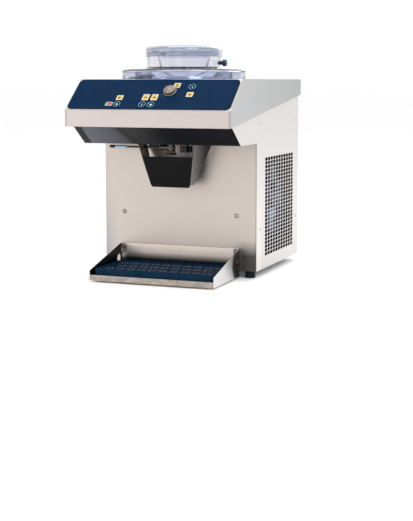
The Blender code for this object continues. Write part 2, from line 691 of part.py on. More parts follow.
def chute():
    """Splash guard of bent sheet: a leaning front plate and two tapering wings."""
    shape = bmesh.new()
    sides = []
    for sign in (-1, 1):
        front = []
        rear = []
        for z, front_x, rear_x, rear_out in GUARD_ROWS:
            front_y = GUARD_FRONT_Y - GUARD_LEAN * (z - GUARD_BOTTOM_Z)
            front.append(shape.verts.new((sign * front_x, front_y, z)))
            rear.append(shape.verts.new((sign * rear_x, PANEL_Y - rear_out, z)))
        for low in (0, 1):
            shape.faces.new((front[low], rear[low], rear[low + 1], front[low + 1]))
        sides.append(front)
    corners = [shape.verts.new((sign * GUARD_BOTTOM_HALF, GUARD_FRONT_Y, GUARD_BOTTOM_Z)) for sign in (-1, 1)]
    shape.faces.new((corners[0], corners[1], sides[1][0], sides[1][1], sides[0][1], sides[0][0]))
    guard = add("chute", to_mesh(shape, "chute"), STAINLESS)
    thick = guard.modifiers.new("Solidify", "SOLIDIFY")
    thick.thickness = 0.0012
    thick.offset = 0
    thick.use_even_offset = True
    cut(guard, rod(0.0045, -0.12, -0.04, 16), (0, OUTLET_Y, PLUNGER_Z), (1, 0, 0))


# Lid

def lid():
    """Clear lid: a flange with a skirt, a plug ring in the cylinder's mouth, and an upright dome wall."""
    place = (0, CYLINDER_Y, 0)
    inner = DOME_RADIUS - LID_WALL
    rim, under, top = HOOD_TOP_Z + 0.0009, LID_TOP_Z - 0.004, LID_TOP_Z
    flange = [
        (LID_RADIUS, rim), (LID_RADIUS, top - 0.003), (LID_RADIUS - 0.003, top), (inner, top),
        (inner, under), (LID_RADIUS - LID_WALL, under), (LID_RADIUS - LID_WALL, rim),
    ]
    add("lid_flange", turned("lid_flange", flange, 40, closed=True), CLEAR_LILAC, place)
    plug = ring("lid_plug", PLUG_RADIUS - LID_WALL, PLUG_RADIUS, 0.5375, under - GAP, 40)
    add("lid_plug", plug, CLEAR_LILAC, place)
    dome = ring("lid_dome", inner, DOME_RADIUS, top + GAP, DOME_TOP_Z, 40)
    add("lid_dome", dome, CLEAR_LILAC, place)
    gasket = ring("lid_gasket", PLUG_RADIUS + GAP, MOUTH_RADIUS - 0.0007, 0.5378, 0.5416, 40)
    add("lid_gasket", gasket, BLACK_RUBBER, place)


def lid_top():
    """Funnel hung in the dome, the cap over it and the lock knob on the dome's right."""
    place = (0, CYLINDER_Y, 0)
    edge, funnel_top = DOME_RADIUS - LID_WALL - 0.0005, DOME_TOP_Z + 0.0005
    funnel = [(0.063, 0.572), (0.065, 0.572), (0.078, 0.6125), (edge, 0.6125), (edge, funnel_top),
              (0.0765, funnel_top)]
    add("hopper_funnel", turned("hopper_funnel", funnel, 40, closed=True), CLEAR_LILAC, place)
    outer, inner, top = CAP_RADIUS, DOME_RADIUS + 0.0008, CAP_TOP_Z
    cap = [
        (0, top), (outer - 0.0115, top), (outer - 0.0035, top - 0.003), (outer, top - 0.010),
        (outer, CAP_BOTTOM_Z), (inner, CAP_BOTTOM_Z), (inner, top - 0.011),
        (inner - 0.0028, top - 0.0055), (inner - 0.0098, top - 0.003), (0, top - 0.003),
    ]
    add("lid_cap", turned("lid_cap", cap, 40), CLEAR_LILAC, place)
    grip = [(0, 0), (0.005, 0), (0.005, 0.007), (0.008, 0.007), (0.009, 0.009), (0.009, 0.0225),
            (0.0075, 0.0255), (0, 0.0255)]
    knob = turned("lid_lock_knob", grip, 8)
    add("lid_lock_knob", knob, NAVY, (DOME_RADIUS + 0.0005, CYLINDER_Y, 0.584), (1, 0, 0))


# Drip tray

def tray():
    """Bent sheet shelf: tall back and sloping sides, with a low lip at the front."""
    side_front_z, lip_z, apex_z = 0.032, 0.020, 0.082
    outline = [(TRAY_BACK_Y, TRAY_BOTTOM_Z), (TRAY_FRONT_Y, TRAY_BOTTOM_Z), (TRAY_FRONT_Y, side_front_z),
               (TRAY_BACK_Y, apex_z)]
    shelf = add("tray", prism("tray", outline, "X", -TRAY_HALF_WIDTH, TRAY_HALF_WIDTH), STAINLESS)
    half = TRAY_HALF_WIDTH - TRAY_SHEET
    low = (-half, TRAY_FRONT_Y + TRAY_SHEET, TRAY_BOTTOM_Z + TRAY_SHEET)
    cut(shelf, boxes("room", [(low, (half, TRAY_BACK_Y - TRAY_SHEET, 0.2))]))
    cut(shelf, boxes("window", [((-half, TRAY_FRONT_Y - 0.01, lip_z), (half, TRAY_FRONT_Y + 0.01, 0.2))]))
    cut(shelf, rod(0.011, -0.3, 0.3, 24), (0, PANEL_Y - 0.020, 0.040), (1, 0, 0))
    x, z = STUD_PLACE
    for side in (-1, 1):
        bulb = z - UNHOOK_LIFT
        cut(shelf, rod(0.0076, -0.01, 0.01, 16), (side * x, TRAY_BACK_Y, bulb), (0, 1, 0))
        low = (side * x - 0.0036, TRAY_BACK_Y - 0.01, bulb)
        cut(shelf, boxes("slot", [(low, (side * x + 0.0036, TRAY_BACK_Y + 0.01, z + 0.0037))]))


def tray_mat():
    """Drip mat with a raised rim round its recessed top."""
    low, high = (-0.168, PANEL_Y - 0.193), (0.168, PANEL_Y - 0.020)
    bottom, top, rim, recess = TRAY_BOTTOM_Z + TRAY_SHEET + GAP, 0.036, 0.006, 0.003
    outline = [low, (high[0], low[1]), high, (low[0], high[1])]
    mat = prism("tray_mat", outline, "Z", bottom, top)
    shape = bmesh.new()
    shape.from_mesh(mat)
    upright = [e for e in shape.edges if abs(e.verts[0].co.z - e.verts[1].co.z) > 0.01]
    bmesh.ops.bevel(shape, geom=upright, offset=0.008, segments=3, affect="EDGES")
    shape.faces.ensure_lookup_table()
    lid_face = max(shape.faces, key=lambda face: face.calc_center_median().z)
    bmesh.ops.inset_region(shape, faces=[lid_face], thickness=rim)
    bmesh.ops.translate(shape, vec=(0, 0, -recess), verts=lid_face.verts[:])
    add("tray_mat", to_mesh(shape, "tray_mat"), NAVY)


def panel_fasteners():
    """Studs that carry the tray, and dome-head screws above them."""
    stud = [(0, -0.0045), (0.0031, -0.0045), (0.0031, 0.0050), (0.0065, 0.0050), (0.0065, 0.0070),
            (0.0045, 0.0088), (0, 0.0092)]
    screw = [(0, -0.006), (0.0028, -0.006), (0.0028, GAP), (0.0050, GAP), (0.0046, 0.0018), (0.0028, 0.0032),
             (0, 0.0037)]
    for name, (x, z), profile in (("tray_stud", STUD_PLACE, stud), ("panel_screw", SCREW_PLACE, screw)):
        for side, sign in (("left", -1), ("right", 1)):
            full = f"{name}_{side}"
            add(full, turned(full, profile, 16), STAINLESS, (sign * x, PANEL_Y, z), (0, -1, 0))


def main():
    clear_scene()
    floor_pan()
    feet()
    front_panel()
    for side, sign in (("left", -1), ("right", 1)):
        cheek(side, sign)
        side_panel(side, sign)
    back_panel()
    console_underside()
    hood()
    control_fascia()
    buttons_and_knob()
    control_board()
    power_inlet()
    deck_plate()
    freezing_cylinder()
    insulation()
    evaporator_coil()
    beater()
    drive_train()
    drive_belt()
    motor()
    compressor()
    condenser()
    fan_assembly()
    pipes()
    condensed_line()
    outlet()
    draw_rod()
    star_knob()
    chute()
    lid()
    lid_top()
    tray()
    tray_mat()
    panel_fasteners()


main()
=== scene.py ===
"""Looks for the countertop soft serve machine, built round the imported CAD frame. Metres."""

import json
import math

import bmesh
import bpy
from mathutils import Matrix, Vector

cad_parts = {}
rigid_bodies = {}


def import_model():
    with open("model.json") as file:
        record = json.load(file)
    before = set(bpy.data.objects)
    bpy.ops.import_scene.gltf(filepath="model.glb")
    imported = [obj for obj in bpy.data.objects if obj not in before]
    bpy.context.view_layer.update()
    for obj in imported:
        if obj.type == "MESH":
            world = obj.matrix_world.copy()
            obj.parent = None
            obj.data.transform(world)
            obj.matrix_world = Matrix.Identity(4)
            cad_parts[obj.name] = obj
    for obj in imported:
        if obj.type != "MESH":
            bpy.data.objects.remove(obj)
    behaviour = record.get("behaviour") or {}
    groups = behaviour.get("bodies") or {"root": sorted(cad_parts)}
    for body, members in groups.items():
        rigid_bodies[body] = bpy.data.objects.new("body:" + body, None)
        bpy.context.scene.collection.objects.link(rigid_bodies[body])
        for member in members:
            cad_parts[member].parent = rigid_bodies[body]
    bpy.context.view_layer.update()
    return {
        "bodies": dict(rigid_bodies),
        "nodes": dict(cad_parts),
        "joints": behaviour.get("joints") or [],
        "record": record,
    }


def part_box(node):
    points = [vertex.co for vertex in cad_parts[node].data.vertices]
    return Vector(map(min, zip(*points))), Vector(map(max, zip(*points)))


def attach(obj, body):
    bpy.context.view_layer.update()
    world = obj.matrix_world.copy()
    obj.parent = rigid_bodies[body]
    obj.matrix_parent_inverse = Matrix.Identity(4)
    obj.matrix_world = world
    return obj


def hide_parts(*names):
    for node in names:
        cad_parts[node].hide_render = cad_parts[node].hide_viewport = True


# Camera: where it stands, how it is turned and its lens
CAMERA_PLACE = (1.2268, -3.0798, 0.5349)
CAMERA_YAW = 0.3651
CAMERA_PITCH = 0.0945
CAMERA_LENS = 81.50
CAMERA_SHIFT = -0.130

# Colours, linear
PANEL_STEEL = (0.520, 0.462, 0.420)
SIDE_STEEL = (0.665, 0.635, 0.622)
HOOD_STEEL = (0.545, 0.489, 0.461)
# Painted shade: the hood's side faces take this darker, bluer copy of the hood steel.
HOOD_SIDE_SHADED = (0.50, 0.505, 0.51)
POLISHED = (0.70, 0.69, 0.68)
NAVY = (0.0068, 0.0330, 0.0930)
BLACK = (0.011, 0.011, 0.012)
RUBBER = (0.0075, 0.0082, 0.0098)
YELLOW = (0.60, 0.385, 0.050)
LILAC = (0.885, 0.888, 0.935)
LILAC_DEEP = (0.700, 0.735, 0.835)
COPPER = (0.74, 0.36, 0.20)
ZINC = (0.52, 0.54, 0.56)
FOAM = (0.80, 0.74, 0.52)

# Control slope: its lower end, the crease at its top ahead of the panel, and levels of what lies on it
LIP_TOP_Z = 0.460
CREASE_AHEAD = 0.1355
PRINT_LEVEL = 0.00185
LAMP_LEVEL = 0.00206
ICON_LEVEL = 0.00212

SIDES = (("left", -1), ("right", 1))

# Side sheets: vent window corners as (behind the panel, height), its grid, and one slot's width, height
# and corner radius
VENT_WINDOW = ((0.070, 0.0534), (0.334, 0.3264))
VENT_GRID = (11, 26)
VENT_SLOT = (0.0206, 0.0091, 0.0028)
SIDE_SHEET = 0.0008
HOOD_EDGE_SLOPE = 0.127
HOOD_OVERLAP = 0.020

# Screws: side ones as (behind the panel, height), the others by distance from the middle and height
SIDE_SCREWS = ((0.031, 0.421), (0.031, 0.132), (0.362, 0.422), (0.363, 0.135))
BACK_SCREW_X, BACK_SCREW_HEIGHTS = 0.214, (0.06, 0.26, 0.46)
PANEL_SCREW_X, PANEL_SCREW_Z = 0.167, 0.170

# Lid
LID_WALL = 0.003
LID_TOP_Z = 0.566
DOME_TOP_Z = 0.614
PLUG_BOTTOM_Z = 0.5375
LOCK_Z = 0.584

# Drip mat: holes along each row, pitch along and between rows, and radius
MAT_ROWS = (10, 9, 10)
HOLE_PITCH = (0.0310, 0.0480)
HOLE_RADIUS = 0.0040

# Studio: lamp name, place, size and power
LAMPS = (("key", (2.6, -2.2, 2.6), 2.2, 60), ("fill", (-2.4, -2.6, 1.8), 2.4, 22),
         ("top", (0.0, 0.4, 3.2), 2.6, 30), ("back", (0.5, 3.2, 2.0), 2.4, 24))
LAMP_TARGET = (0, 0, 0.3)


# ---------------------------------------------------------------- materials

class Look:
    """A Principled material with small helpers that add nodes to it."""

    def __init__(self, name, colour, roughness=0.5, metallic=0.0, **inputs):
        self.material = bpy.data.materials.new(name)
        self.material.use_nodes = True
        self.tree = self.material.node_tree
        self.shader = self.tree.nodes["Principled BSDF"]
        self.colour = colour
        self.set("Base Color", (*colour, 1))
        self.set("Roughness", roughness)
        self.set("Metallic", metallic)
        for key, value in inputs.items():
            self.set(key.replace("_", " "), value)

    def set(self, socket, value):
        self.shader.inputs[socket].default_value = value

    def node(self, kind, **values):
        made = self.tree.nodes.new(kind)
        for key, value in values.items():
            if key in made.inputs:
                made.inputs[key].default_value = value
            else:
                setattr(made, key, value)
        return made

    def link(self, source, target):
        self.tree.links.new(source, target)

    def coordinates(self, scale=(1, 1, 1)):
        place = self.node("ShaderNodeTexCoord")
        mapping = self.node("ShaderNodeMapping", Scale=scale)
        self.link(place.outputs["Object"], mapping.inputs["Vector"])
        return mapping.outputs["Vector"]

    def noise(self, scale, stretch=(1, 1, 1), detail=3.0, roughness=0.55):
        made = self.node("ShaderNodeTexNoise", Scale=scale, Detail=detail, Roughness=roughness)
        self.link(self.coordinates(stretch), made.inputs["Vector"])
        return made.outputs["Fac"]

    def range(self, value, low, high, start=0.3, end=0.7):
        made = self.node("ShaderNodeMapRange")
        for key, number in (("From Min", start), ("From Max", end), ("To Min", low), ("To Max", high)):
            made.inputs[key].default_value = number
        self.link(value, made.inputs["Value"])
        return made.outputs["Result"]

    def rise(self, value, start, end):
        return self.range(value, 0.0, 1.0, start, end)

    def fall(self, value, start, end):
        return self.range(value, 1.0, 0.0, start, end)

    def tint(self, value, darker, lighter=1.0, start=0.3, end=0.7):
        """Colour that runs between darker and lighter versions of the base."""
        dark, light = ([c * factor for c in self.colour] for factor in (darker, lighter))
        return self.blend(value, dark, light, start, end)

    def blend(self, value, first, second, start=0.3, end=0.7):
        ramp = self.node("ShaderNodeValToRGB")
        ramp.color_ramp.elements[0].position = start
        ramp.color_ramp.elements[0].color = (*first, 1)
        ramp.color_ramp.elements[1].position = end
        ramp.color_ramp.elements[1].color = (*second, 1)
        self.link(value, ramp.inputs["Fac"])
        return ramp.outputs["Color"]

    def mix(self, factor, first, second):
        made = self.node("ShaderNodeMix", data_type="RGBA")
        for source, key in ((factor, 0), (first, 6), (second, 7)):
            if isinstance(source, (int, float, tuple)):
                made.inputs[key].default_value = source
            else:
                self.link(source, made.inputs[key])
        return made.outputs[2]

    def bump(self, height, strength, distance):
        made = self.node("ShaderNodeBump", Strength=strength, Distance=distance)
        self.link(height, made.inputs["Height"])
        before = self.shader.inputs["Normal"].links
        if before:
            self.link(before[0].from_socket, made.inputs["Normal"])
        self.link(made.outputs["Normal"], self.shader.inputs["Normal"])

    def place(self):
        """The object's own X, Y and Z."""
        spot = self.node("ShaderNodeTexCoord")
        split = self.node("ShaderNodeSeparateXYZ")
        self.link(spot.outputs["Object"], split.inputs["Vector"])
        return split.outputs

    def facing(self):
        """The X, Y and Z of the way the surface faces."""
        geometry = self.node("ShaderNodeNewGeometry")
        split = self.node("ShaderNodeSeparateXYZ")
        self.link(geometry.outputs["Normal"], split.inputs["Vector"])
        return split.outputs

    def math(self, kind, first, second, third=0.0):
        made = self.node("ShaderNodeMath", operation=kind)
        for index, source in enumerate((first, second, third)):
            if isinstance(source, (int, float)):
                made.inputs[index].default_value = source
            else:
                self.link(source, made.inputs[index])
        return made.outputs[0]

    def both(self, *masks):
        total = masks[0]
        for mask in masks[1:]:
            total = self.math("MULTIPLY", total, mask)
        return total

    def current(self):
        return self.shader.inputs["Base Color"].links[0].from_socket

    def base(self, colour):
        self.link(colour, self.shader.inputs["Base Color"])

    def rough(self, value):
        self.link(value, self.shader.inputs["Roughness"])


def brushed(name, colour, roughness=0.30, grain=(60, 1, 60), metallic=1.0, contrast=0.93):
    """Brushed sheet: fine lines along the axis that grain stretches, with faint clouding."""
    look = Look(name, colour, roughness, metallic)
    lines = look.noise(14, grain, 5.0, 0.7)
    clouds = look.noise(5.0, (1, 1, 1), 2.0)
    look.base(look.mix(0.35, look.tint(lines, contrast, 1.03), look.tint(clouds, contrast, 1.02)))
    look.rough(look.range(lines, roughness - 0.06, roughness + 0.10))
    look.bump(lines, 0.10, 0.0002)
    return look


def painted(name, colour, roughness=0.4, metallic=0.0):
    look = Look(name, colour, roughness, metallic)
    look.base(look.tint(look.noise(9, detail=4), 0.93, 1.04))
    look.rough(look.range(look.noise(30, detail=3), roughness - 0.05, roughness + 0.08))
    look.bump(look.noise(900, detail=2), 0.12, 0.0002)
    return look


def moulded(name, colour, roughness=0.42, spread=0.10, grain=1400, shine=0.5):
    """Moulded plastic or rubber with a fine leathered surface."""
    look = Look(name, colour, roughness)
    look.set("Specular IOR Level", shine)
    look.base(look.tint(look.noise(40, detail=4), 0.85, 1.15))
    look.rough(look.range(look.noise(70, detail=4), roughness - spread / 2, roughness + spread))
    look.bump(look.noise(grain, detail=2), 0.22, 0.0003)
    return look


def mat_look():
    look = moulded("navy_mat", (0.0066, 0.0245, 0.0520), 0.55, 0.14, 1600)
    look.set("Specular IOR Level", 0.02)
    # Painted shade: faces that point up are painted a darker navy than the front faces, to offset the stronger
    # light on top.
    _, _, up = look.facing()
    look.base(look.mix(look.rise(up, 0.5, 0.9), look.current(), (0.0026, 0.0135, 0.0350, 1)))
    return look


def panel_look():
    """Brushed front sheet with painted light: a painted blue-grey reflection at its lower left, painted shade
    at its right edge and a painted shadow beside the tray.
    """
    look = brushed("panel_steel", PANEL_STEEL, 0.34, (60, 60, 1), 1.0, 0.96)
    x, _, z = look.place()
    # Painted reflection: blue-grey at the lower left.
    painted_cool_reflection = look.both(look.fall(x, -0.224, -0.185), look.fall(z, 0.06, 0.24))
    # Painted shade: a darker strip along the right edge.
    edge = look.rise(x, 0.2195, 0.2235)
    # Painted shadow: a dark patch beside the tray's right end.
    shade = look.both(look.rise(x, 0.150, 0.186), look.fall(z, 0.060, 0.105))
    body = look.mix(look.both(painted_cool_reflection, 0.9), look.current(), (0.33, 0.345, 0.375, 1))
    body = look.mix(look.both(edge, 0.55), body, (0.16, 0.14, 0.13, 1))
    look.base(look.mix(look.both(shade, 0.92), body, (0.052, 0.050, 0.047, 1)))
    return look


def side_look():
    """Pale brushed sheet with a faint upright seam near its front, and painted shade that darkens it towards
    the bottom.
    """
    look = brushed("side_steel", SIDE_STEEL, 0.36, (60, 60, 1), 0.85, 0.97)
    _, y, z = look.place()
    near = look.math("ABSOLUTE", look.math("SUBTRACT", y, -0.0445), 0.0)
    seam = look.both(look.range(near, 0.40, 0.0, 0.0008, 0.0026), look.rise(z, 0.345, 0.365))
    # Painted shade: the sheet darkens towards the bottom.
    low = look.range(z, 0.30, 0.0, 0.03, 0.30)
    body = look.mix(low, look.current(), (0.42, 0.40, 0.40, 1))
    look.base(look.mix(seam, body, (0.20, 0.18, 0.17, 1)))
    return look


def turned_look(name, colour, metallic=0.6):
    """Turned metal with fine rings across its axis."""
    look = Look(name, colour, 0.20, metallic)
    grain = look.noise(120, (1, 1, 14), 3.0)
    look.base(look.tint(grain, 0.86, 1.06))
    look.rough(look.range(grain, 0.16, 0.28))
    return look


def fins_look():
    """Fin pack painted nearly black as the shade inside the cabinet, with a painted blue-white highlight in its
    middle.
    """
    # Painted shade: the fins are coloured nearly black for the dark inside the cabinet.
    look = Look("condenser_fins", (0.006, 0.007, 0.009), 0.55, 0.0)
    look.set("Specular IOR Level", 0.05)
    _, y, z = look.place()
    # Painted highlight: the blue-white gleam, held to the middle by reach.
    gleam = look.range(look.noise(26, (1, 1, 1), 2.0), 0.0, 1.0, 0.42, 0.66)
    across, along = (look.math("ABSOLUTE", look.math("SUBTRACT", axis, middle), 0.0)
                     for axis, middle in ((y, 0.110), (z, 0.205)))
    reach = look.both(look.fall(across, 0.030, 0.085), look.fall(along, 0.050, 0.110))
    look.base(look.mix(look.both(gleam, reach), look.tint(look.noise(40), 0.6, 1.2), (0.42, 0.55, 0.72, 1)))
    return look


def clear_plastic(name, colour, roughness=0.012, outer=None):
    """Clear acrylic with faint haze, fine scratches and darker rims; outer tints it beyond the dome."""
    look = Look(name, colour, roughness, 0.0, Transmission_Weight=1.0, IOR=1.47)
    angle = look.node("ShaderNodeLayerWeight", Blend=0.5)
    rim = look.range(angle.outputs["Facing"], 0.0, 1.0, 0.62, 0.95)
    body = look.tint(look.noise(12, detail=2), 0.985, 1.0)
    if outer:
        x, y, _ = look.place()
        reach = look.math("SQRT", look.math("ADD", look.both(x, x), look.both(y, y)), 0.0)
        body = look.mix(look.rise(reach, 0.112, 0.122), body, (*outer, 1))
    look.base(look.mix(rim, body, (0.30, 0.32, 0.42, 1)))
    look.rough(look.range(look.noise(45, (1, 1, 5), 4), roughness, roughness + 0.045, 0.45, 0.8))
    return look


def make_looks():
    looks = {
        "panel": panel_look(),
        "side": side_look(),
        "sheet": brushed("sheet_steel", SIDE_STEEL, 0.36, (60, 60, 1), 0.85, 0.97),
        "hood": hood_look(),
        "tray": tray_look(),
        "ring": brushed("button_ring", (0.20, 0.42, 0.56), 0.22, (80, 80, 1)),
        "brass": brushed("knob_metal", (0.285, 0.245, 0.200), 0.20, (4, 4, 4), 1.0, 0.60),
        # Painted highlight: the mat collars are a lighter blue that stands for the glints on them.
        "star": moulded("mat_star_painted_highlight", (0.050, 0.086, 0.134), 0.34, 0.10),
        "rim_steel": brushed("tub_rim", (0.82, 0.84, 0.90), 0.16, (60, 60, 1)),
        "polished": brushed("polished_steel", POLISHED, 0.14, (60, 60, 1)),
        "painted_mirror_steel": painted_mirror_steel_look(),
        "turned": turned_look("turned_steel", (0.25, 0.235, 0.220)),
        "turned_dark": turned_look("turned_dark", (0.090, 0.082, 0.078), 0.85),
        "ferrule": turned_look("rod_ferrule", (0.30, 0.46, 0.58)),
        "black_rod": turned_look("black_rod", (0.055, 0.053, 0.051)),
        "side_screw": turned_look("side_screw", (0.58, 0.56, 0.545), 0.15),
        "panel_screw": turned_look("panel_screw", (0.42, 0.395, 0.37), 0.15),
        "fins": fins_look(),
        "zinc": brushed("galvanised", ZINC, 0.42, (4, 4, 4), 1.0, 0.82),
        "copper": brushed("copper_tube", COPPER, 0.28, (6, 6, 6), 1.0, 0.80),
        "aluminium": brushed("aluminium", (0.62, 0.66, 0.72), 0.34, (40, 1, 40)),
        "underside": underside_look(),
        "enamel": painted("black_enamel", BLACK, 0.32, 0.2),
        "navy_dish": fascia_look("button_dish"),
        "navy": moulded("navy_plastic", NAVY, 0.30, 0.08, 900),
        "fascia": fascia_look(),
        "mat": mat_look(),
        "black": moulded("black_plastic", BLACK, 0.40),
        "rubber": moulded("black_rubber", RUBBER, 0.66, 0.12, 1800, 0.15),
        "yellow": painted("label_yellow", YELLOW, 0.38),
        "ink": painted("label_ink", (0.03, 0.05, 0.08), 0.45),
        "white": painted("label_white", (0.80, 0.84, 0.88), 0.40),
        "green": painted("lamp_green", (0.01, 0.34, 0.14), 0.25),
        "red": painted("lamp_red", (0.40, 0.030, 0.028), 0.25),
        "foam": painted("jacket_foam", FOAM, 0.85),
        "board": painted("circuit_board", (0.012, 0.13, 0.05), 0.42),
        "clear": clear_plastic("clear_plastic", LILAC, outer=LILAC_DEEP),
        "clear_cap": clear_plastic("clear_cap", (0.650, 0.695, 0.785)),
        "clear_funnel": clear_plastic("clear_funnel", (0.965, 0.970, 0.980)),
        "gasket": moulded("grey_gasket", (0.30, 0.31, 0.33), 0.5),
    }
    return looks


def hood_look():
    """Satin sheet with painted shade: its side faces are painted a bluer, darker tone that darkens further
    towards their rear, and the lip's folded ends are painted darker.
    """
    look = brushed("hood_steel", HOOD_STEEL, 0.36, (1, 60, 60), 0.9, 0.97)
    x, y, z = look.place()
    across, ahead, _ = look.facing()
    # Painted shade: a darker strip at the lip's folded ends.
    fold = look.both(look.range(look.math("ABSOLUTE", x, 0.0), 0.0, 1.0, 0.2245, 0.2265),
                     look.fall(ahead, -0.95, -0.80), look.fall(z, 0.458, 0.461))
    face = look.mix(look.both(fold, 0.45), look.current(), (0.28, 0.26, 0.25, 1))
    # Painted shade: the side faces' colour, darker towards the rear.
    painted_side_shade = look.mix(look.rise(y, -0.27, 0.30), tuple(c * 0.98 for c in HOOD_SIDE_SHADED) + (1,),
                     tuple(c * 0.80 for c in HOOD_SIDE_SHADED) + (1,))
    # The side faces take the painted shade by the way they face.
    look.base(look.mix(look.both(across, across), face, painted_side_shade))
    return look


def painted_mirror_steel_look():
    """Polished guard with the mirror of the dark console painted in: painted black reflection in front, wings
    painted with shade from front to rear, and a painted tan reflection inside the left wing near its top.
    """
    # Painted reflection: near-black base for the dark the guard mirrors.
    look = Look("guard_steel", (0.0042, 0.0041, 0.0041), 0.28, 0.0)
    look.set("Specular IOR Level", 0.08)
    x, y, z = look.place()
    across, _, _ = look.facing()
    wing = look.both(look.rise(across, 0.45, 0.75), look.rise(x, 0.0, 0.02))
    # Painted shade on the wings: dark at the top and rear, lighter towards the front edge.
    depth = look.math("MULTIPLY_ADD", look.math("SUBTRACT", z, 0.30), 0.40, y)
    shade = look.blend(look.fall(depth, -0.170, -0.085), (0.012, 0.012, 0.012),
                       (0.210, 0.205, 0.205), 0.05, 0.95)
    # Painted reflection: a tan patch inside the left wing near its top.
    inner = look.both(look.rise(across, 0.30, 0.6), look.fall(x, -0.02, 0.0),
                      look.rise(z, 0.318, 0.324), look.fall(y, -0.125, -0.115))
    grain = look.noise(14, (60, 60, 1), 5.0, 0.7)
    body = look.mix(inner, look.tint(grain, 0.8, 1.25), (0.150, 0.092, 0.055, 1))
    look.base(look.mix(wing, body, shade))
    look.rough(look.range(grain, 0.24, 0.36))
    look.bump(grain, 0.08, 0.0002)
    return look


def tray_look():
    """Polished sheet, pale inside its back, with a darker, blotchy front lip; a dark painted reflection of the
    mat low on its back and on the left plate's inner face, and the right flank painted white as a highlight
    with a grey painted reflection near its rear.
    """
    look = brushed("tray_steel", (0.80, 0.70, 0.63), 0.32, (1, 60, 60), 1.0, 0.975)
    x, y, z = look.place()
    across, ahead, _ = look.facing()
    # Painted reflection: the low part of the back's inner face is dark where it mirrors the mat.
    back = look.both(look.fall(ahead, -0.9, -0.6), look.fall(z, 0.0395, 0.0585),
                     look.rise(y, -0.12, -0.09))
    lip = look.both(look.fall(ahead, -0.9, -0.6), look.fall(y, -0.22, -0.18))
    blotch = look.blend(look.noise(55, (1, 1, 2), 4), (0.30, 0.275, 0.255), (0.46, 0.40, 0.355), 0.35, 0.65)
    body = look.mix(lip, look.mix(back, look.current(), (0.024, 0.030, 0.038, 1)), blotch)
    # Painted reflection: a dark grey lobe near the rear of the right flank.
    lobe_y = look.math("DIVIDE", look.math("SUBTRACT", y, -0.080), 0.060)
    lobe_z = look.math("DIVIDE", look.math("SUBTRACT", z, 0.040), 0.050)
    lobe = look.math("ADD", look.both(lobe_y, lobe_y), look.both(lobe_z, lobe_z))
    near = look.mix(look.fall(lobe, 0.85, 1.05), (0.76, 0.755, 0.75, 1), (0.080, 0.085, 0.089, 1))
    # Painted reflection, dark, on the left plate's inner face; the right flank is painted white as a highlight.
    right = look.rise(x, -0.01, 0.01)
    flank = look.mix(right, (0.038, 0.044, 0.055, 1), near)
    look.base(look.mix(look.rise(across, 0.6, 0.9), body, flank))
    return look


def underside_look():
    """Glossy sheet painted near black for the dark it mirrors: a painted grey-violet sheen on its left part
    ends in a slanted edge, a fainter painted reflection lies beyond that edge, and its left flank is painted
    darker as shade.
    """
    # Painted reflection: near-black base for the dark the sheet mirrors below.
    look = Look("console_underside", (0.0082, 0.0090, 0.0110), 0.34, 0.0)
    look.set("Specular IOR Level", 0.10)
    x, _, z = look.place()
    slant = look.math("MULTIPLY_ADD", z, 0.5625, x)
    # Painted reflection: the grey-violet sheen on the left part, ending at the slanted edge.
    light = look.both(look.fall(slant, 0.118, 0.134), look.rise(x, -0.2035, -0.2010))
    # Painted reflection: a fainter band beyond the slanted edge.
    after = look.both(look.rise(slant, 0.140, 0.160), look.fall(slant, 0.150, 0.255))
    # Painted shade: the far left flank is darker.
    flank = look.fall(x, -0.2035, -0.2010)
    grain = look.noise(6, detail=2)
    body = look.mix(look.both(after, 0.8), look.tint(grain, 0.92, 1.08), (0.024, 0.024, 0.028, 1))
    body = look.mix(look.both(flank, 0.97), body, (0.0060, 0.0056, 0.0072, 1))
    fade = look.rise(x, -0.20, -0.09)
    sheen = look.mix(fade, (0.100, 0.100, 0.122, 1), (0.048, 0.048, 0.060, 1))
    look.base(look.mix(light, body, sheen))
    look.rough(look.range(grain, 0.30, 0.38))
    return look


def fascia_look(name="fascia_print"):
    """Printed overlay: satin navy with a fine texture and little shine."""
    look = Look(name, (0.0030, 0.0180, 0.0530), 0.55, 0.0)
    look.set("Specular IOR Level", 0.03)
    look.base(look.tint(look.noise(25, detail=4), 0.90, 1.10))
    look.rough(look.range(look.noise(55, detail=3), 0.5, 0.62))
    look.bump(look.noise(2200, detail=2), 0.25, 0.00015)
    return look


# ---------------------------------------------------------------- mesh helpers

def add(name, data, place=(0, 0, 0), direction=None, axis="Z"):
    """Puts an object in the scene with its axis along the direction."""
    item = bpy.data.objects.new(name, data)
    bpy.context.collection.objects.link(item)
    item.location = place
    if direction is not None:
        item.rotation_euler = Vector(direction).to_track_quat(axis, "Y").to_euler()
    return item


def piece(name, mesh, look, body, place=(0, 0, 0), direction=None, replaces=()):
    """Adds a finished object, rides it on its body and hides the CAD nodes it stands for."""
    item = add(name, mesh, place, direction)
    if not mesh.materials:
        mesh.materials.append(look.material)
    bpy.context.view_layer.update()
    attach(item, body)
    if replaces:
        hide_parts(*replaces)
    return item


def bevel(item, width):
    join = item.modifiers.new("Weld", "WELD")
    join.merge_threshold = 0.00001
    step = item.modifiers.new("Bevel", "BEVEL")
    step.width = width
    step.segments = 2
    step.limit_method = "ANGLE"
    step.angle_limit = math.radians(35)
    step.use_clamp_overlap = True


def smoothed(mesh, angle):
    mesh.shade_smooth()
    mesh.set_sharp_from_angle(angle=math.radians(angle))


def finish_mesh(shape, name, smooth=40):
    bmesh.ops.recalc_face_normals(shape, faces=shape.faces[:])
    mesh = bpy.data.meshes.new(name)
    shape.to_mesh(mesh)
    shape.free()
    if smooth:
        smoothed(mesh, smooth)
    return mesh


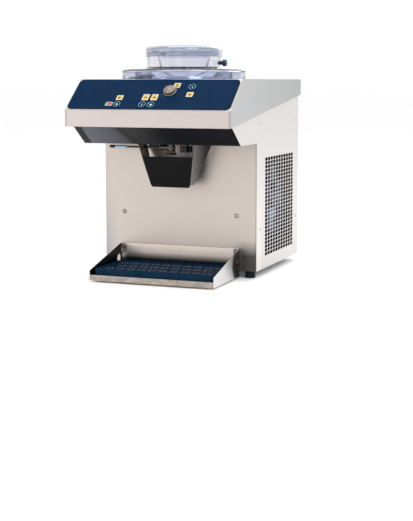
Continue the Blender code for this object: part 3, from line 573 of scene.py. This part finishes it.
def fillet(points, closed=False, steps=5):
    """Points of (a, b) or (a, b, radius); each corner with a radius becomes an arc."""
    count = len(points)
    path = []
    for index, point in enumerate(points):
        radius = point[2] if len(point) > 2 else 0
        here = Vector(point[:2])
        if not radius or (not closed and index in (0, count - 1)):
            path.append(here)
            continue
        before = Vector(points[index - 1][:2]) - here
        after = Vector(points[(index + 1) % count][:2]) - here
        half = before.angle(after) / 2
        cutback = min(radius / math.tan(half), before.length * 0.49, after.length * 0.49)
        start = here + before.normalized() * cutback
        end = here + after.normalized() * cutback
        for step in range(steps + 1):
            t = step / steps
            weight = 2 * t * (1 - t) * math.cos(math.pi / 2 - half)
            total = (1 - t) ** 2 + weight + t ** 2
            path.append((start * (1 - t) ** 2 + here * weight + end * t ** 2) / total)
    return path


def lathe(name, profile, steps, closed=False):
    """Spins a fillet profile of (radius, height) about Z."""
    shape = bmesh.new()
    spots = [shape.verts.new((point[0], 0, point[1])) for point in profile]
    pairs = list(zip(spots, spots[1:]))
    if closed:
        pairs.append((spots[-1], spots[0]))
    edges = [shape.edges.new(pair) for pair in pairs]
    bmesh.ops.spin(shape, geom=spots + edges, axis=(0, 0, 1), cent=(0, 0, 0), angle=math.tau,
                   steps=steps, use_merge=True)
    bmesh.ops.remove_doubles(shape, verts=shape.verts[:], dist=1e-6)
    return finish_mesh(shape, name)


def slab(name, outline, low, high, edge=0.0, segments=2, smooth=40):
    """An XY outline extruded from low to high, its rims rounded."""
    shape = bmesh.new()
    face = shape.faces.new([shape.verts.new((x, y, low)) for x, y in outline])
    made = bmesh.ops.extrude_face_region(shape, geom=[face])["geom"]
    raised = [item for item in made if isinstance(item, bmesh.types.BMVert)]
    bmesh.ops.translate(shape, vec=(0, 0, high - low), verts=raised)
    if edge:
        rims = [e for e in shape.edges if abs(e.verts[0].co.z - e.verts[1].co.z) < 1e-7]
        bmesh.ops.bevel(shape, geom=rims, offset=edge, segments=segments, affect="EDGES", profile=0.5)
    return finish_mesh(shape, name, smooth)


def rounded_rectangle(width, height, radius, steps=4):
    spots = []
    for turn, (sx, sy) in enumerate(((1, 1), (-1, 1), (-1, -1), (1, -1))):
        for step in range(steps + 1):
            angle = math.pi / 2 * (turn + step / steps)
            spots.append((sx * (width / 2 - radius) + radius * math.cos(angle),
                          sy * (height / 2 - radius) + radius * math.sin(angle)))
    return spots


def lobed(radius, depth, lobes, steps=96, sharp=1.0):
    spots = []
    for step in range(steps):
        angle = math.tau * step / steps
        wave = math.cos(lobes * angle)
        reach = radius + depth * math.copysign(abs(wave) ** sharp, wave)
        spots.append((reach * math.cos(angle), reach * math.sin(angle)))
    return spots


def circle(radius, steps):
    return [(radius * math.cos(math.tau * i / steps), radius * math.sin(math.tau * i / steps))
            for i in range(steps)]


def cut(item, mesh, place=(0, 0, 0)):
    """Cuts a hole with a helper mesh, and bakes the result into the item."""
    tool = add("tool", mesh, place)
    step = item.modifiers.new("Cut", "BOOLEAN")
    step.solver = "EXACT"
    step.object = tool
    bpy.context.view_layer.update()
    graph = bpy.context.evaluated_depsgraph_get()
    baked = bpy.data.meshes.new_from_object(item.evaluated_get(graph))
    item.modifiers.remove(step)
    item.data = baked
    bpy.data.objects.remove(tool, do_unlink=True)


# ---------------------------------------------------------------- measures from the frame

def centre(node):
    low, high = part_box(node)
    return tuple((near + far) / 2 for near, far in zip(low, high))


class Measures:
    """Places read from the CAD nodes' boxes."""

    def __init__(self):
        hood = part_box("hood")
        self.panel_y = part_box("front_panel")[0].y
        self.side_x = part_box("side_panel_right")[1].x
        self.hood_top = hood[1].z
        self.lip_y = hood[0].y
        self.cylinder_y = centre("freezing_cylinder")[1]
        self.lip_bottom = hood[0].z
        self.lip_top = LIP_TOP_Z
        self.crease_y = self.panel_y - CREASE_AHEAD
        run = Vector((0, self.crease_y - self.lip_y, self.hood_top - self.lip_top))
        self.run = run.normalized()
        self.normal = Vector((0, -self.run.z, self.run.y))

    def slope(self, x, along, out=0.0):
        return Vector((x, self.lip_y, self.lip_top)) + self.run * along + self.normal * out


def on_slope(item, measures, x, along, out):
    """Lays an item flat on the control slope."""
    turn = Matrix((Vector((1, 0, 0)), measures.run, measures.normal)).transposed().to_4x4()
    item.matrix_world = Matrix.Translation(measures.slope(x, along, out)) @ turn


# ---------------------------------------------------------------- cabinet

def perforated_sheet(name, outline, window, columns, rows, slot, sign, outer_x):
    """Side sheet in Y and Z with a grid of oblong holes. The outline runs front-low, back-low, back-high,
    front-high."""
    (y0, z0), (y1, z1) = window
    step_y, step_z = (y1 - y0) / columns, (z1 - z0) / rows
    shape = bmesh.new()
    corners = [[shape.verts.new((outer_x, y0 + step_y * i, z0 + step_z * j)) for i in range(columns + 1)]
               for j in range(rows + 1)]
    hole = rounded_rectangle(slot[0], slot[1], slot[2], 4)
    for j in range(rows):
        for i in range(columns):
            middle_y, middle_z = y0 + step_y * (i + 0.5), z0 + step_z * (j + 0.5)
            ring = [shape.verts.new((outer_x, middle_y + a, middle_z + b)) for a, b in hole]
            arcs = [ring[turn * 5:turn * 5 + 5] for turn in range(4)]
            cell = [corners[j + 1][i + 1], corners[j + 1][i], corners[j][i], corners[j][i + 1]]
            for turn in range(4):
                after = (turn + 1) % 4
                shape.faces.new([cell[turn], cell[after], *reversed(arcs[after][:3]),
                                 *reversed(arcs[turn][2:])])
    frame = [shape.verts.new((outer_x, y, z)) for y, z in outline]
    sides = [corners[0], [row[-1] for row in corners], list(reversed(corners[-1])),
             [row[0] for row in reversed(corners)]]
    for turn in range(4):
        shape.faces.new([frame[turn], frame[(turn + 1) % 4], *reversed(sides[turn])])
    bmesh.ops.recalc_face_normals(shape, faces=shape.faces[:])
    if sum(face.normal.x for face in shape.faces) * sign < 0:
        bmesh.ops.reverse_faces(shape, faces=shape.faces[:])
    mesh = bpy.data.meshes.new(name)
    shape.to_mesh(mesh)
    shape.free()
    return mesh


def side_panels(measures, looks):
    for side, sign in SIDES:
        node = f"side_panel_{side}"
        low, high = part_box(node)
        front_top = measures.lip_bottom + (low.y - measures.lip_y) * HOOD_EDGE_SLOPE + HOOD_OVERLAP
        outline = [(low.y, low.z), (high.y, low.z), (high.y, high.z), (low.y, front_top)]
        window = [(measures.panel_y + behind, z) for behind, z in VENT_WINDOW]
        name = f"vented_side_{side}"
        mesh = perforated_sheet(name, outline, window, *VENT_GRID, VENT_SLOT, sign, sign * measures.side_x)
        item = piece(name, mesh, looks["side"], "machine", replaces=(node,))
        thick = item.modifiers.new("Solidify", "SOLIDIFY")
        thick.thickness = SIDE_SHEET
        thick.offset = -1


def screw_mesh(name, radius):
    """Dome head with a cross recess."""
    head = lathe(name, fillet([(0, 0), (radius, 0, 0.0002), (radius * 0.92, radius * 0.30, radius * 0.3),
                               (radius * 0.5, radius * 0.62, radius * 0.6), (0, radius * 0.66)]), 40)
    holder = add(name, head)
    arm, half = radius * 0.55, radius * 0.12
    cross = [(arm, -half), (arm, half), (half, half), (half, arm), (-half, arm), (-half, half), (-arm, half),
             (-arm, -half), (-half, -half), (-half, -arm), (half, -arm), (half, -half)]
    cut(holder, slab("cross", cross, radius * 0.28, radius * 1.2, smooth=0))
    mesh = holder.data
    bpy.data.objects.remove(holder, do_unlink=True)
    smoothed(mesh, 35)
    return mesh


def screws(measures, looks):
    small, flat = screw_mesh("screw_small", 0.0040), screw_mesh("screw_flat", 0.0030)
    panel = measures.panel_y
    for side, sign in SIDES:
        for index, (y, z) in enumerate(SIDE_SCREWS):
            piece(f"side_screw_{side}_{index}", small, looks["side_screw"], "machine",
                  (sign * (measures.side_x + 0.0001), panel + y, z), (sign, 0, 0))
        for index, z in enumerate(BACK_SCREW_HEIGHTS):
            piece(f"back_screw_{side}_{index}", flat, looks["polished"], "machine",
                  (sign * BACK_SCREW_X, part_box("back_panel")[1].y + 0.0001, z), (0, 1, 0))
    large = screw_mesh("panel_screw_head", 0.0048)
    washer = lathe("panel_washer", fillet([(0.0030, 0), (0.0062, 0, 0.0002), (0.0060, 0.0007, 0.0003),
                                           (0.0030, 0.0007)], True), 48, True)
    for side, sign in SIDES:
        x = sign * PANEL_SCREW_X
        piece(f"panel_screw_head_{side}", large, looks["panel_screw"], "machine",
              (x, panel - 0.0008, PANEL_SCREW_Z), (0, -1, 0), replaces=(f"panel_screw_{side}",))
        piece(f"panel_washer_{side}", washer, looks["black_rod"], "machine",
              (x, panel - 0.0001, PANEL_SCREW_Z), (0, -1, 0))


def stud_gap_shadows(looks):
    """Dark rings round the heads of the tray studs, painted shade for the gap round each head."""
    profile = [(0.0044, 0.0091), (0.0066, 0.0073), (0.0068, 0.0075), (0.0046, 0.0093)]
    ring = lathe("stud_gap_shadow", profile, 48, True)
    for side in ("left", "right"):
        stud = f"tray_stud_{side}"
        x, _, z = centre(stud)
        piece(f"stud_ring_{side}", ring, looks["black_rod"], "machine", (x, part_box(stud)[0].y + 0.0092, z),
              (0, -1, 0))


def feet(looks):
    profile = fillet([(0, 0), (0.0130, 0, 0.0012), (0.0145, 0.0030, 0.001), (0.0142, 0.0062, 0.0006),
                      (0.0128, 0.0070, 0.0004), (0.0128, 0.0084, 0.0004), (0.0138, 0.0092, 0.0006),
                      (0.0124, 0.0186, 0.0010), (0.0105, 0.0196, 0.0006), (0, 0.0196)], steps=3)
    mesh = lathe("rubber_foot", profile, 64)
    for end in ("front", "rear"):
        for side in ("left", "right"):
            node = f"foot_{end}_{side}"
            x, y, _ = centre(node)
            piece(f"rubber_{node}", mesh, looks["rubber"], "machine", (x, y, 0), replaces=(node,))


# ---------------------------------------------------------------- console

# Labels as (across, up the slope, height); buttons, lamp and knob as (across, up the slope)
LABELS = {
    "start": (-0.0880, 0.0470, 0.0190),
    "stop": (-0.0145, 0.0490, 0.0240),
    "clean": (0.0100, 0.0491, 0.0240),
    "power": (0.1045, 0.0607, 0.0190),
    "timer": (0.0588, 0.0963, 0.0190),
}
BUTTONS = {
    "button_start": (-0.0865, 0.0190),
    "button_stop": (-0.0146, 0.0182),
    "button_clean": (0.0098, 0.0182),
    "button_power": (0.1038, 0.0883),
}
LAMP = (-0.1108, 0.0225)
KNOB = (0.0465, 0.070)
DIMPLE_RING = 0.0098
DIAL_RING = 0.0238


def label_icon(name):
    """Plain shapes that stand for each control."""
    if name == "start":
        return [(-0.004, -0.005), (0.005, 0.0), (-0.004, 0.005)]
    if name == "stop":
        return rounded_rectangle(0.008, 0.0045, 0.0005)
    if name == "clean":
        return lobed(0.0036, 0.0012, 4, 36)
    if name == "timer":
        return [(-0.0045, -0.0045), (0.0045, -0.0045), (0.0007, 0.0), (0.0045, 0.0045), (-0.0045, 0.0045),
                (-0.0007, 0.0)]
    return circle(0.0038, 20)


def labels(measures, looks):
    """Yellow pictogram labels with a pale border, and a two-colour lamp label; no lettering."""
    layers = (("edge", 0.0178, 0.00015, "white"), ("plate", 0.0162, 0.00025, "yellow"))
    for name, (x, along, height) in LABELS.items():
        for layer, size, thick, look in layers:
            outline = rounded_rectangle(size, height + size - 0.0187, 0.0022)
            plate = slab(f"label_{layer}_{name}", outline, 0, thick)
            item = piece(f"label_{layer}_{name}", plate, looks[look], "machine")
            on_slope(item, measures, x, along, PRINT_LEVEL)
        icon = slab(f"icon_{name}", label_icon(name), 0, 0.00015)
        mark = piece(f"icon_{name}", icon, looks["ink"], "machine")
        on_slope(mark, measures, x, along - 0.001, ICON_LEVEL)
    base = slab("lamp_base", rounded_rectangle(0.0190, 0.0140, 0.0030), 0, 0.0002)
    on_slope(piece("lamp_base", base, looks["white"], "machine"), measures, *LAMP, PRINT_LEVEL)
    lens = rounded_rectangle(0.0168, 0.0118, 0.0024, 6)
    for name, side, gap in (("green", min, -0.0025), ("red", max, -0.0015)):
        half = [(side(x, gap + y * 0.5), y) for x, y in lens]
        item = piece(f"lamp_{name}", slab(f"lamp_{name}", half, 0, 0.0006, 0.00015), looks[name], "machine")
        on_slope(item, measures, *LAMP, LAMP_LEVEL)


def dial_marks(measures, looks):
    """Faint marks in an arc below the knob."""
    for index in range(9):
        angle = math.radians(-150 + index * 15)
        spot = (KNOB[0] + DIAL_RING * math.cos(angle), KNOB[1] + DIAL_RING * math.sin(angle))
        mark = slab(f"dial_mark_{index}", rounded_rectangle(0.0022, 0.0005, 0.0002), 0, 0.00012)
        item = piece(f"dial_mark_{index}", mark, looks["ring"], "machine")
        on_slope(item, measures, *spot, PRINT_LEVEL)
        item.rotation_euler.rotate_axis("Z", angle)


def buttons(measures, looks):
    """Thin metal ring buttons with a dished navy centre."""
    ring_profile = [(0.0086, 0.0030), (0.0100, 0.0030, 0.0002), (0.0100, 0.0046, 0.0006),
                    (0.0092, 0.0050, 0.0004), (0.0086, 0.0044, 0.0002)]
    ring = lathe("button_ring", fillet(ring_profile, True, 4), 64, True)
    dish = lathe("button_dish", fillet([(0, -0.008), (0.002, -0.008), (0.002, 0.0030), (0.0085, 0.0030),
                                        (0.0085, 0.0044, 0.0004), (0.0050, 0.0036, 0.004), (0, 0.0034)]), 64)
    icons = {
        "button_start": lobed(0.0024, 0.0009, 3, 30),
        "button_stop": rounded_rectangle(0.0012, 0.0060, 0.0004),
        "button_clean": lobed(0.0026, 0.0009, 5, 30),
        "button_power": rounded_rectangle(0.0014, 0.0052, 0.0004),
    }
    for name, (x, along) in BUTTONS.items():
        for part, mesh, look in (("ring", ring, "ring"), ("dish", dish, "navy_dish")):
            item = piece(f"{name}_{part}", mesh, looks[look], name,
                         replaces=(name,) if part == "ring" else ())
            on_slope(item, measures, x, along, 0)
        mark = piece(f"{name}_mark", slab(f"{name}_mark", icons[name], 0.0034, 0.0038), looks["white"], name)
        on_slope(mark, measures, x, along, 0)


def control_knob(measures, looks):
    """Low lobed metal knob with a ring of dark dimples round its face."""
    skirt = lathe("knob_skirt", fillet([(0, -0.010), (0.003, -0.010), (0.003, 0.0024),
                                        (0.0185, 0.0024, 0.0003), (0.0183, 0.0048, 0.0009),
                                        (0.0160, 0.0056, 0.001), (0, 0.0058)]), 72)
    grip = slab("knob_grip", lobed(0.0157, 0.0010, 12, 144, 0.8), 0.0056, 0.0118, 0.0012, 3)
    face = lathe("knob_face", fillet([(0, 0.0116), (0.0128, 0.0116), (0.0128, 0.0122, 0.0004),
                                      (0.0064, 0.0120, 0.001), (0.0056, 0.0130, 0.0006), (0, 0.0132)]), 72)
    for name, mesh in (("knob_skirt", skirt), ("knob_grip", grip), ("knob_face", face)):
        item = piece(name, mesh, looks["brass"], "knob",
                     replaces=("control_knob",) if name == "knob_skirt" else ())
        on_slope(item, measures, *KNOB, 0)
    dimple_profile = [(0, 0), (0.0017, 0, 0.0002), (0.0014, 0.0005, 0.0002), (0, 0.0004)]
    dimple = lathe("knob_dimple", fillet(dimple_profile), 24)
    for index in range(8):
        angle = math.tau * (index + 0.4) / 8
        item = piece(f"knob_dimple_{index}", dimple, looks["navy_dish"], "knob")
        on_slope(item, measures, KNOB[0] + DIMPLE_RING * math.cos(angle),
                 KNOB[1] + DIMPLE_RING * math.sin(angle), 0.0120)


# ---------------------------------------------------------------- lid

def lid_stack(measures, looks):
    place = (0, measures.cylinder_y, 0)
    rim = measures.hood_top + 0.0009
    outer, plug, dome, cap = (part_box(node)[1].x for node in ("lid_flange", "lid_plug", "lid_dome", "lid_cap"))
    wall, top, low_z = LID_WALL, LID_TOP_Z, PLUG_BOTTOM_Z
    lid = fillet([(outer, rim, 0.0004), (outer, top, 0.0055), (dome + 0.0055, top + 0.0012, 0.004),
                  (dome, top + 0.0065, 0.003), (dome, DOME_TOP_Z, 0.0008), (dome - wall, DOME_TOP_Z, 0.0008),
                  (dome - wall, top - 0.002, 0.002), (plug - wall, top - 0.003, 0.002),
                  (plug - wall, low_z, 0.001), (plug, low_z, 0.001), (plug, top - 0.0035, 0.002),
                  (outer - wall, top - 0.004, 0.004), (outer - wall, rim, 0.0004)], True, 5)
    piece("clear_lid", lathe("clear_lid", lid, 128, True), looks["clear"], "lid", place,
          replaces=("lid_flange", "lid_plug", "lid_dome"))
    edge = dome - wall - 0.0005
    funnel = fillet([(0.0630, 0.572, 0.0006), (0.0650, 0.572, 0.0006), (0.0780, 0.6120, 0.002),
                     (edge, 0.6125, 0.0006), (edge, 0.6145, 0.0006), (0.0765, 0.6145, 0.002)], True, 4)
    piece("clear_funnel", lathe("clear_funnel", funnel, 112, True), looks["clear_funnel"], "lid", place,
          replaces=("hopper_funnel",))
    inner = dome + 0.0008
    shell = fillet([(0, 0.6290), (cap, 0.6290, 0.0100), (cap, 0.6010, 0.0008), (inner, 0.6010, 0.0006),
                    (inner, 0.6262, 0.0080), (0, 0.6262)], False, 8)
    piece("clear_cap", lathe("clear_cap", shell, 128), looks["clear_cap"], "cap", place,
          replaces=("lid_cap",))
    tab = curved_plate("cap_tab", cap + 0.0002, 0.0008, math.radians(-122), math.radians(-97), 0.603, 0.6170)
    piece("cap_tab", tab, looks["clear"], "cap", place)
    low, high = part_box("lid_gasket")
    seal = fillet([(plug + 0.0003, low.z, 0.0008), (high.x, low.z, 0.0008), (high.x, 0.5395, 0.0006),
                   (plug + 0.0008, 0.5400, 0.0004), (plug + 0.0003, 0.5400, 0.0004)], True, 3)
    piece("lid_seal", lathe("lid_seal", seal, 96, True), looks["gasket"], "lid", place,
          replaces=("lid_gasket",))
    lock_knob(looks, measures.cylinder_y)
    collar = fillet([(0.1246, 0.5400), (0.1284, 0.5400), (0.1286, 0.5496, 0.0012),
                     (0.1244, 0.5496, 0.0012)], True, 4)
    piece("tub_collar", lathe("tub_collar", collar, 128, True), looks["rim_steel"], "machine", place)
    clips = (("seal_clip_front", -118, -104, 0.5510), ("seal_clip_left", -155, -120, 0.5475))
    for name, start, end, high_z in clips:
        clip = curved_plate(name, 0.1505, 0.0060, math.radians(start), math.radians(end), 0.5406, high_z)
        piece(name, clip, looks["navy"], "lid", place)


def lock_knob(looks, y):
    """Eight-sided navy knob on a short black neck."""
    low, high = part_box("lid_lock_knob")
    length = high.x - low.x
    neck = lathe("lock_neck", fillet([(0, 0), (0.0050, 0), (0.0050, 0.0122), (0, 0.0122)]), 40)
    piece("lock_neck", neck, looks["black"], "lid_lock", (low.x, y, LOCK_Z), (1, 0, 0))
    head = slab("lock_knob", circle(0.0090, 8), 0.0122, length - 0.0025, 0.0012, 3, 25)
    piece("lock_knob", head, looks["navy"], "lid_lock", (low.x, y, LOCK_Z), (1, 0, 0),
          replaces=("lid_lock_knob",))


def curved_plate(name, radius, depth, start, end, low, high, steps=14):
    """A thin raised plate wrapped on a cylinder."""
    shape = bmesh.new()
    rows = []
    for reach in (radius - depth, radius + depth):
        for z in (low, high):
            rows.append([shape.verts.new((reach * math.cos(start + (end - start) * i / steps),
                                          reach * math.sin(start + (end - start) * i / steps), z))
                         for i in range(steps + 1)])
    loops = [rows[0], rows[1], rows[3], rows[2]]
    for near, far in zip(loops, loops[1:] + loops[:1]):
        for i in range(steps):
            shape.faces.new((near[i], near[i + 1], far[i + 1], far[i]))
    for i in (0, steps):
        shape.faces.new([loop[i] for loop in loops])
    return finish_mesh(shape, name)


# ---------------------------------------------------------------- tray

def star_collar():
    """Raised ring of six petals round a drain hole."""
    shape = bmesh.new()
    for turn in range(6):
        angle = math.tau * turn / 6
        size = Matrix.Diagonal((0.0034, 0.0012, 0.0016, 1))
        matrix = Matrix.Rotation(angle, 4, "Z") @ Matrix.Translation((0.0082, 0, 0)) @ size
        bmesh.ops.create_uvsphere(shape, u_segments=12, v_segments=6, radius=1, matrix=matrix)
    return finish_mesh(shape, "star_collar")


def drip_mat(looks):
    """Navy mat with a raised rim and staggered rows of collared drain holes."""
    low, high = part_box("tray_mat")
    width, depth = high.x - low.x, high.y - low.y
    middle = (*centre("tray_mat")[:2], 0)
    floor_z = high.z - 0.0035
    shape = bmesh.new()
    levels = [(0, 0.009, low.z), (0, 0.009, high.z - 0.001), (0.002, 0.008, high.z), (0.010, 0.006, high.z),
              (0.012, 0.006, high.z - 0.001), (0.012, 0.006, floor_z)]
    loops = [[shape.verts.new((x, y, z)) for x, y in rounded_rectangle(width - less, depth - less, radius, 6)]
             for less, radius, z in levels]
    for near, far in zip(loops, loops[1:]):
        for i in range(len(near)):
            j = (i + 1) % len(near)
            shape.faces.new((near[i], near[j], far[j], far[i]))
    shape.faces.new(loops[0])
    shape.faces.new(loops[-1])
    mat = piece("drip_mat", finish_mesh(shape, "drip_mat"), looks["mat"], "mat", middle,
                replaces=("tray_mat",))
    holes = bmesh.new()
    collar_mesh = star_collar()
    collars = bmesh.new()
    for row, count in enumerate(MAT_ROWS):
        for column in range(count):
            x = (column - (count - 1) / 2) * HOLE_PITCH[0]
            y = (row - 1.0) * HOLE_PITCH[1]
            matrix = Matrix.Translation((x, y, floor_z))
            bmesh.ops.create_cone(holes, cap_ends=True, segments=24, radius1=HOLE_RADIUS, radius2=HOLE_RADIUS,
                                  depth=0.016, matrix=matrix)
            copy = collar_mesh.copy()
            copy.transform(matrix)
            collars.from_mesh(copy)
    cut(mat, finish_mesh(holes, "holes", 0), middle)
    mat.data.set_sharp_from_angle(angle=math.radians(40))
    # The collars carry the painted highlight of the lighter blue star look.
    piece("mat_collars", finish_mesh(collars, "mat_collars"), looks["star"], "mat", middle)


# ---------------------------------------------------------------- dispensing head

def dispensing_head(looks):
    place = (*centre("nozzle")[:2], 0)
    tip = lathe("nozzle_tip", fillet([(0, 0.336), (0.0145, 0.336, 0.0008), (0.0150, 0.3390, 0.0010),
                                      (0.0135, 0.3413, 0.0006), (0, 0.3413)]), 72)
    nozzle = piece("nozzle_tip", tip, looks["turned_dark"], "machine", place, replaces=("nozzle",))
    cut(nozzle, slab("star", lobed(0.0036, 0.0012, 6, 72), 0.33, 0.35), place)
    smoothed(nozzle.data, 35)
    ring = slab("outlet_nut", lobed(0.0121, 0.0005, 24, 144), 0.3420, 0.3470, 0.0006)
    piece("outlet_nut", ring, looks["turned_dark"], "machine", place)
    place = (*centre("star_knob")[:2], 0)
    grip = slab("clamp_grip", lobed(0.0150, 0.0026, 5, 120), 0.3430, 0.3600, 0.0024, 4)
    piece("clamp_grip", grip, looks["black"], "clamp_knob", place, replaces=("star_knob",))
    stem = lathe("clamp_stem", fillet([(0, 0.3590), (0.0070, 0.3590), (0.0070, 0.3625, 0.0005),
                                       (0.0040, 0.3632, 0.0003), (0.0040, 0.3845), (0, 0.3845)]), 40)
    piece("clamp_stem", stem, looks["turned"], "clamp_knob", place)
    pull_rod(looks)


def pull_rod(looks):
    """Thin rod along X, with a blue-grey ferrule and a black end; profiles run from its left end."""
    low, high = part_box("draw_rod")
    length = high.x - low.x
    _, y, z = centre("draw_rod")
    shaft = [(0, 0.0), (0.00275, 0.0), (0.00275, length), (0, length)]
    ferrule = [(0.0029, 0.0035), (0.0040, 0.0035, 0.0005), (0.0040, 0.0330, 0.0005),
               (0.0034, 0.0365, 0.001), (0.0029, 0.0375)]
    tip = [(0, -0.0140), (0.0040, -0.0140, 0.0012), (0.0043, -0.0090, 0.0006), (0.0043, -0.0004, 0.0004),
           (0, -0.0004)]
    for name, profile, closed, look, nodes, slot in (
            ("pull_shaft", shaft, False, "black_rod", ("draw_rod",), "chrome"),
            ("pull_ferrule", ferrule, True, "ferrule", (), "chrome"),
            ("pull_tip", tip, False, "black", ("rod_tip",), "black_plastic")):
        mesh = lathe(name, fillet(profile, closed), 40, closed)
        piece(name, mesh, looks[look], "pull_rod", (low.x, y, z), (1, 0, 0), replaces=nodes)


# ---------------------------------------------------------------- inside, seen through the vents

def cooling(looks):
    """Fin pack with two rows of tubes along Y."""
    low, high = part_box("condenser")
    middle_x, middle_y, middle_z = centre("condenser")
    shape = bmesh.new()
    fins, tubes = 90, 10
    for index in range(fins):
        y = low.y + (high.y - low.y) * (index + 0.5) / fins
        matrix = Matrix.Translation((middle_x, y, middle_z))
        size = Matrix.Diagonal((high.x - low.x - 0.004, 0.0004, high.z - low.z, 1))
        bmesh.ops.create_cube(shape, size=1, matrix=matrix @ size)
    for row in range(tubes):
        z = low.z + (high.z - low.z) * (row + 0.5) / tubes
        for x in (low.x + 0.009, high.x - 0.009):
            matrix = Matrix.Translation((x, middle_y, z)) @ Matrix.Rotation(math.pi / 2, 4, "X")
            bmesh.ops.create_cone(shape, cap_ends=True, segments=14, radius1=0.0042, radius2=0.0042,
                                  depth=high.y - low.y, matrix=matrix)
    piece("finned_condenser", finish_mesh(shape, "finned_condenser"), looks["fins"], "machine",
          replaces=("condenser",))


# ---------------------------------------------------------------- carried-over CAD nodes

CARRIED = {
    "panel": ("front_panel",),
    "sheet": ("cheek_left", "cheek_right", "back_panel"),
    "hood": ("hood",),
    "fascia": ("control_fascia",),
    "tray": ("tray",),
    "painted_mirror_steel": ("chute",),
    "underside": ("console_underside",),
    "polished": ("freezing_cylinder", "drive_shaft"),
    "turned": ("tray_stud_left", "tray_stud_right"),
    "turned_dark": ("outlet_body",),
    "aluminium": ("driven_pulley", "motor_pulley", "bearing_housing"),
    "zinc": ("floor_pan", "deck_plate", "fan_motor"),
    "copper": ("evaporator_coil", "suction_line", "discharge_line", "condensed_line"),
    "enamel": ("motor", "compressor"),
    "black": ("power_inlet", "fan_shroud", "condenser_fan", "valve_plunger"),
    "rubber": ("drive_belt",),
    "navy": ("beater",),
    "foam": ("insulation_jacket",),
    "board": ("control_board",),
}
BEVELLED = {"front_panel": 0.0006, "cheek_left": 0.0005, "cheek_right": 0.0005, "back_panel": 0.0005,
            "tray": 0.0005, "chute": 0.0005, "control_fascia": 0.0004, "power_inlet": 0.0008,
            "beater": 0.0008, "floor_pan": 0.0005}


def carry_over(frame, looks):
    for look, nodes in CARRIED.items():
        for name in nodes:
            item = frame["nodes"][name]
            for place in item.material_slots:
                place.material = looks[look].material
            if name in BEVELLED:
                bevel(item, BEVELLED[name])


# ---------------------------------------------------------------- stage

def stage():
    shape = bmesh.new()
    bmesh.ops.create_grid(shape, x_segments=1, y_segments=1, size=40)
    floor_look = Look("pale_floor", (0.99, 0.99, 0.99), 0.9)
    floor_look.base(floor_look.tint(floor_look.noise(3, detail=2), 0.99, 1.0))
    floor = add("floor", finish_mesh(shape, "floor", 0))
    floor.data.materials.append(floor_look.material)
    world = bpy.data.worlds.new("studio")
    bpy.context.scene.world = world
    world.use_nodes = True
    world.node_tree.nodes["Background"].inputs["Color"].default_value = (1.0, 1.0, 1.0, 1)
    world.node_tree.nodes["Background"].inputs["Strength"].default_value = 1.0
    for name, place, size, power in LAMPS:
        lamp = bpy.data.lights.new(name, "AREA")
        lamp.energy = power
        lamp.size = size
        add(name, lamp, place, Vector(LAMP_TARGET) - Vector(place), "-Z")
    bpy.context.scene.view_settings.view_transform = "Standard"


def camera():
    data = bpy.data.cameras.new("camera")
    data.lens = CAMERA_LENS
    data.shift_y = CAMERA_SHIFT
    item = add("camera", data, CAMERA_PLACE)
    item.rotation_euler = (math.pi / 2 - CAMERA_PITCH, 0, CAMERA_YAW)
    bpy.context.scene.camera = item


def main():
    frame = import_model()
    camera()
    looks = make_looks()
    measures = Measures()
    carry_over(frame, looks)
    side_panels(measures, looks)
    screws(measures, looks)
    stud_gap_shadows(looks)
    feet(looks)
    labels(measures, looks)
    buttons(measures, looks)
    control_knob(measures, looks)
    dial_marks(measures, looks)
    lid_stack(measures, looks)
    drip_mat(looks)
    dispensing_head(looks)
    cooling(looks)
    stage()


main()
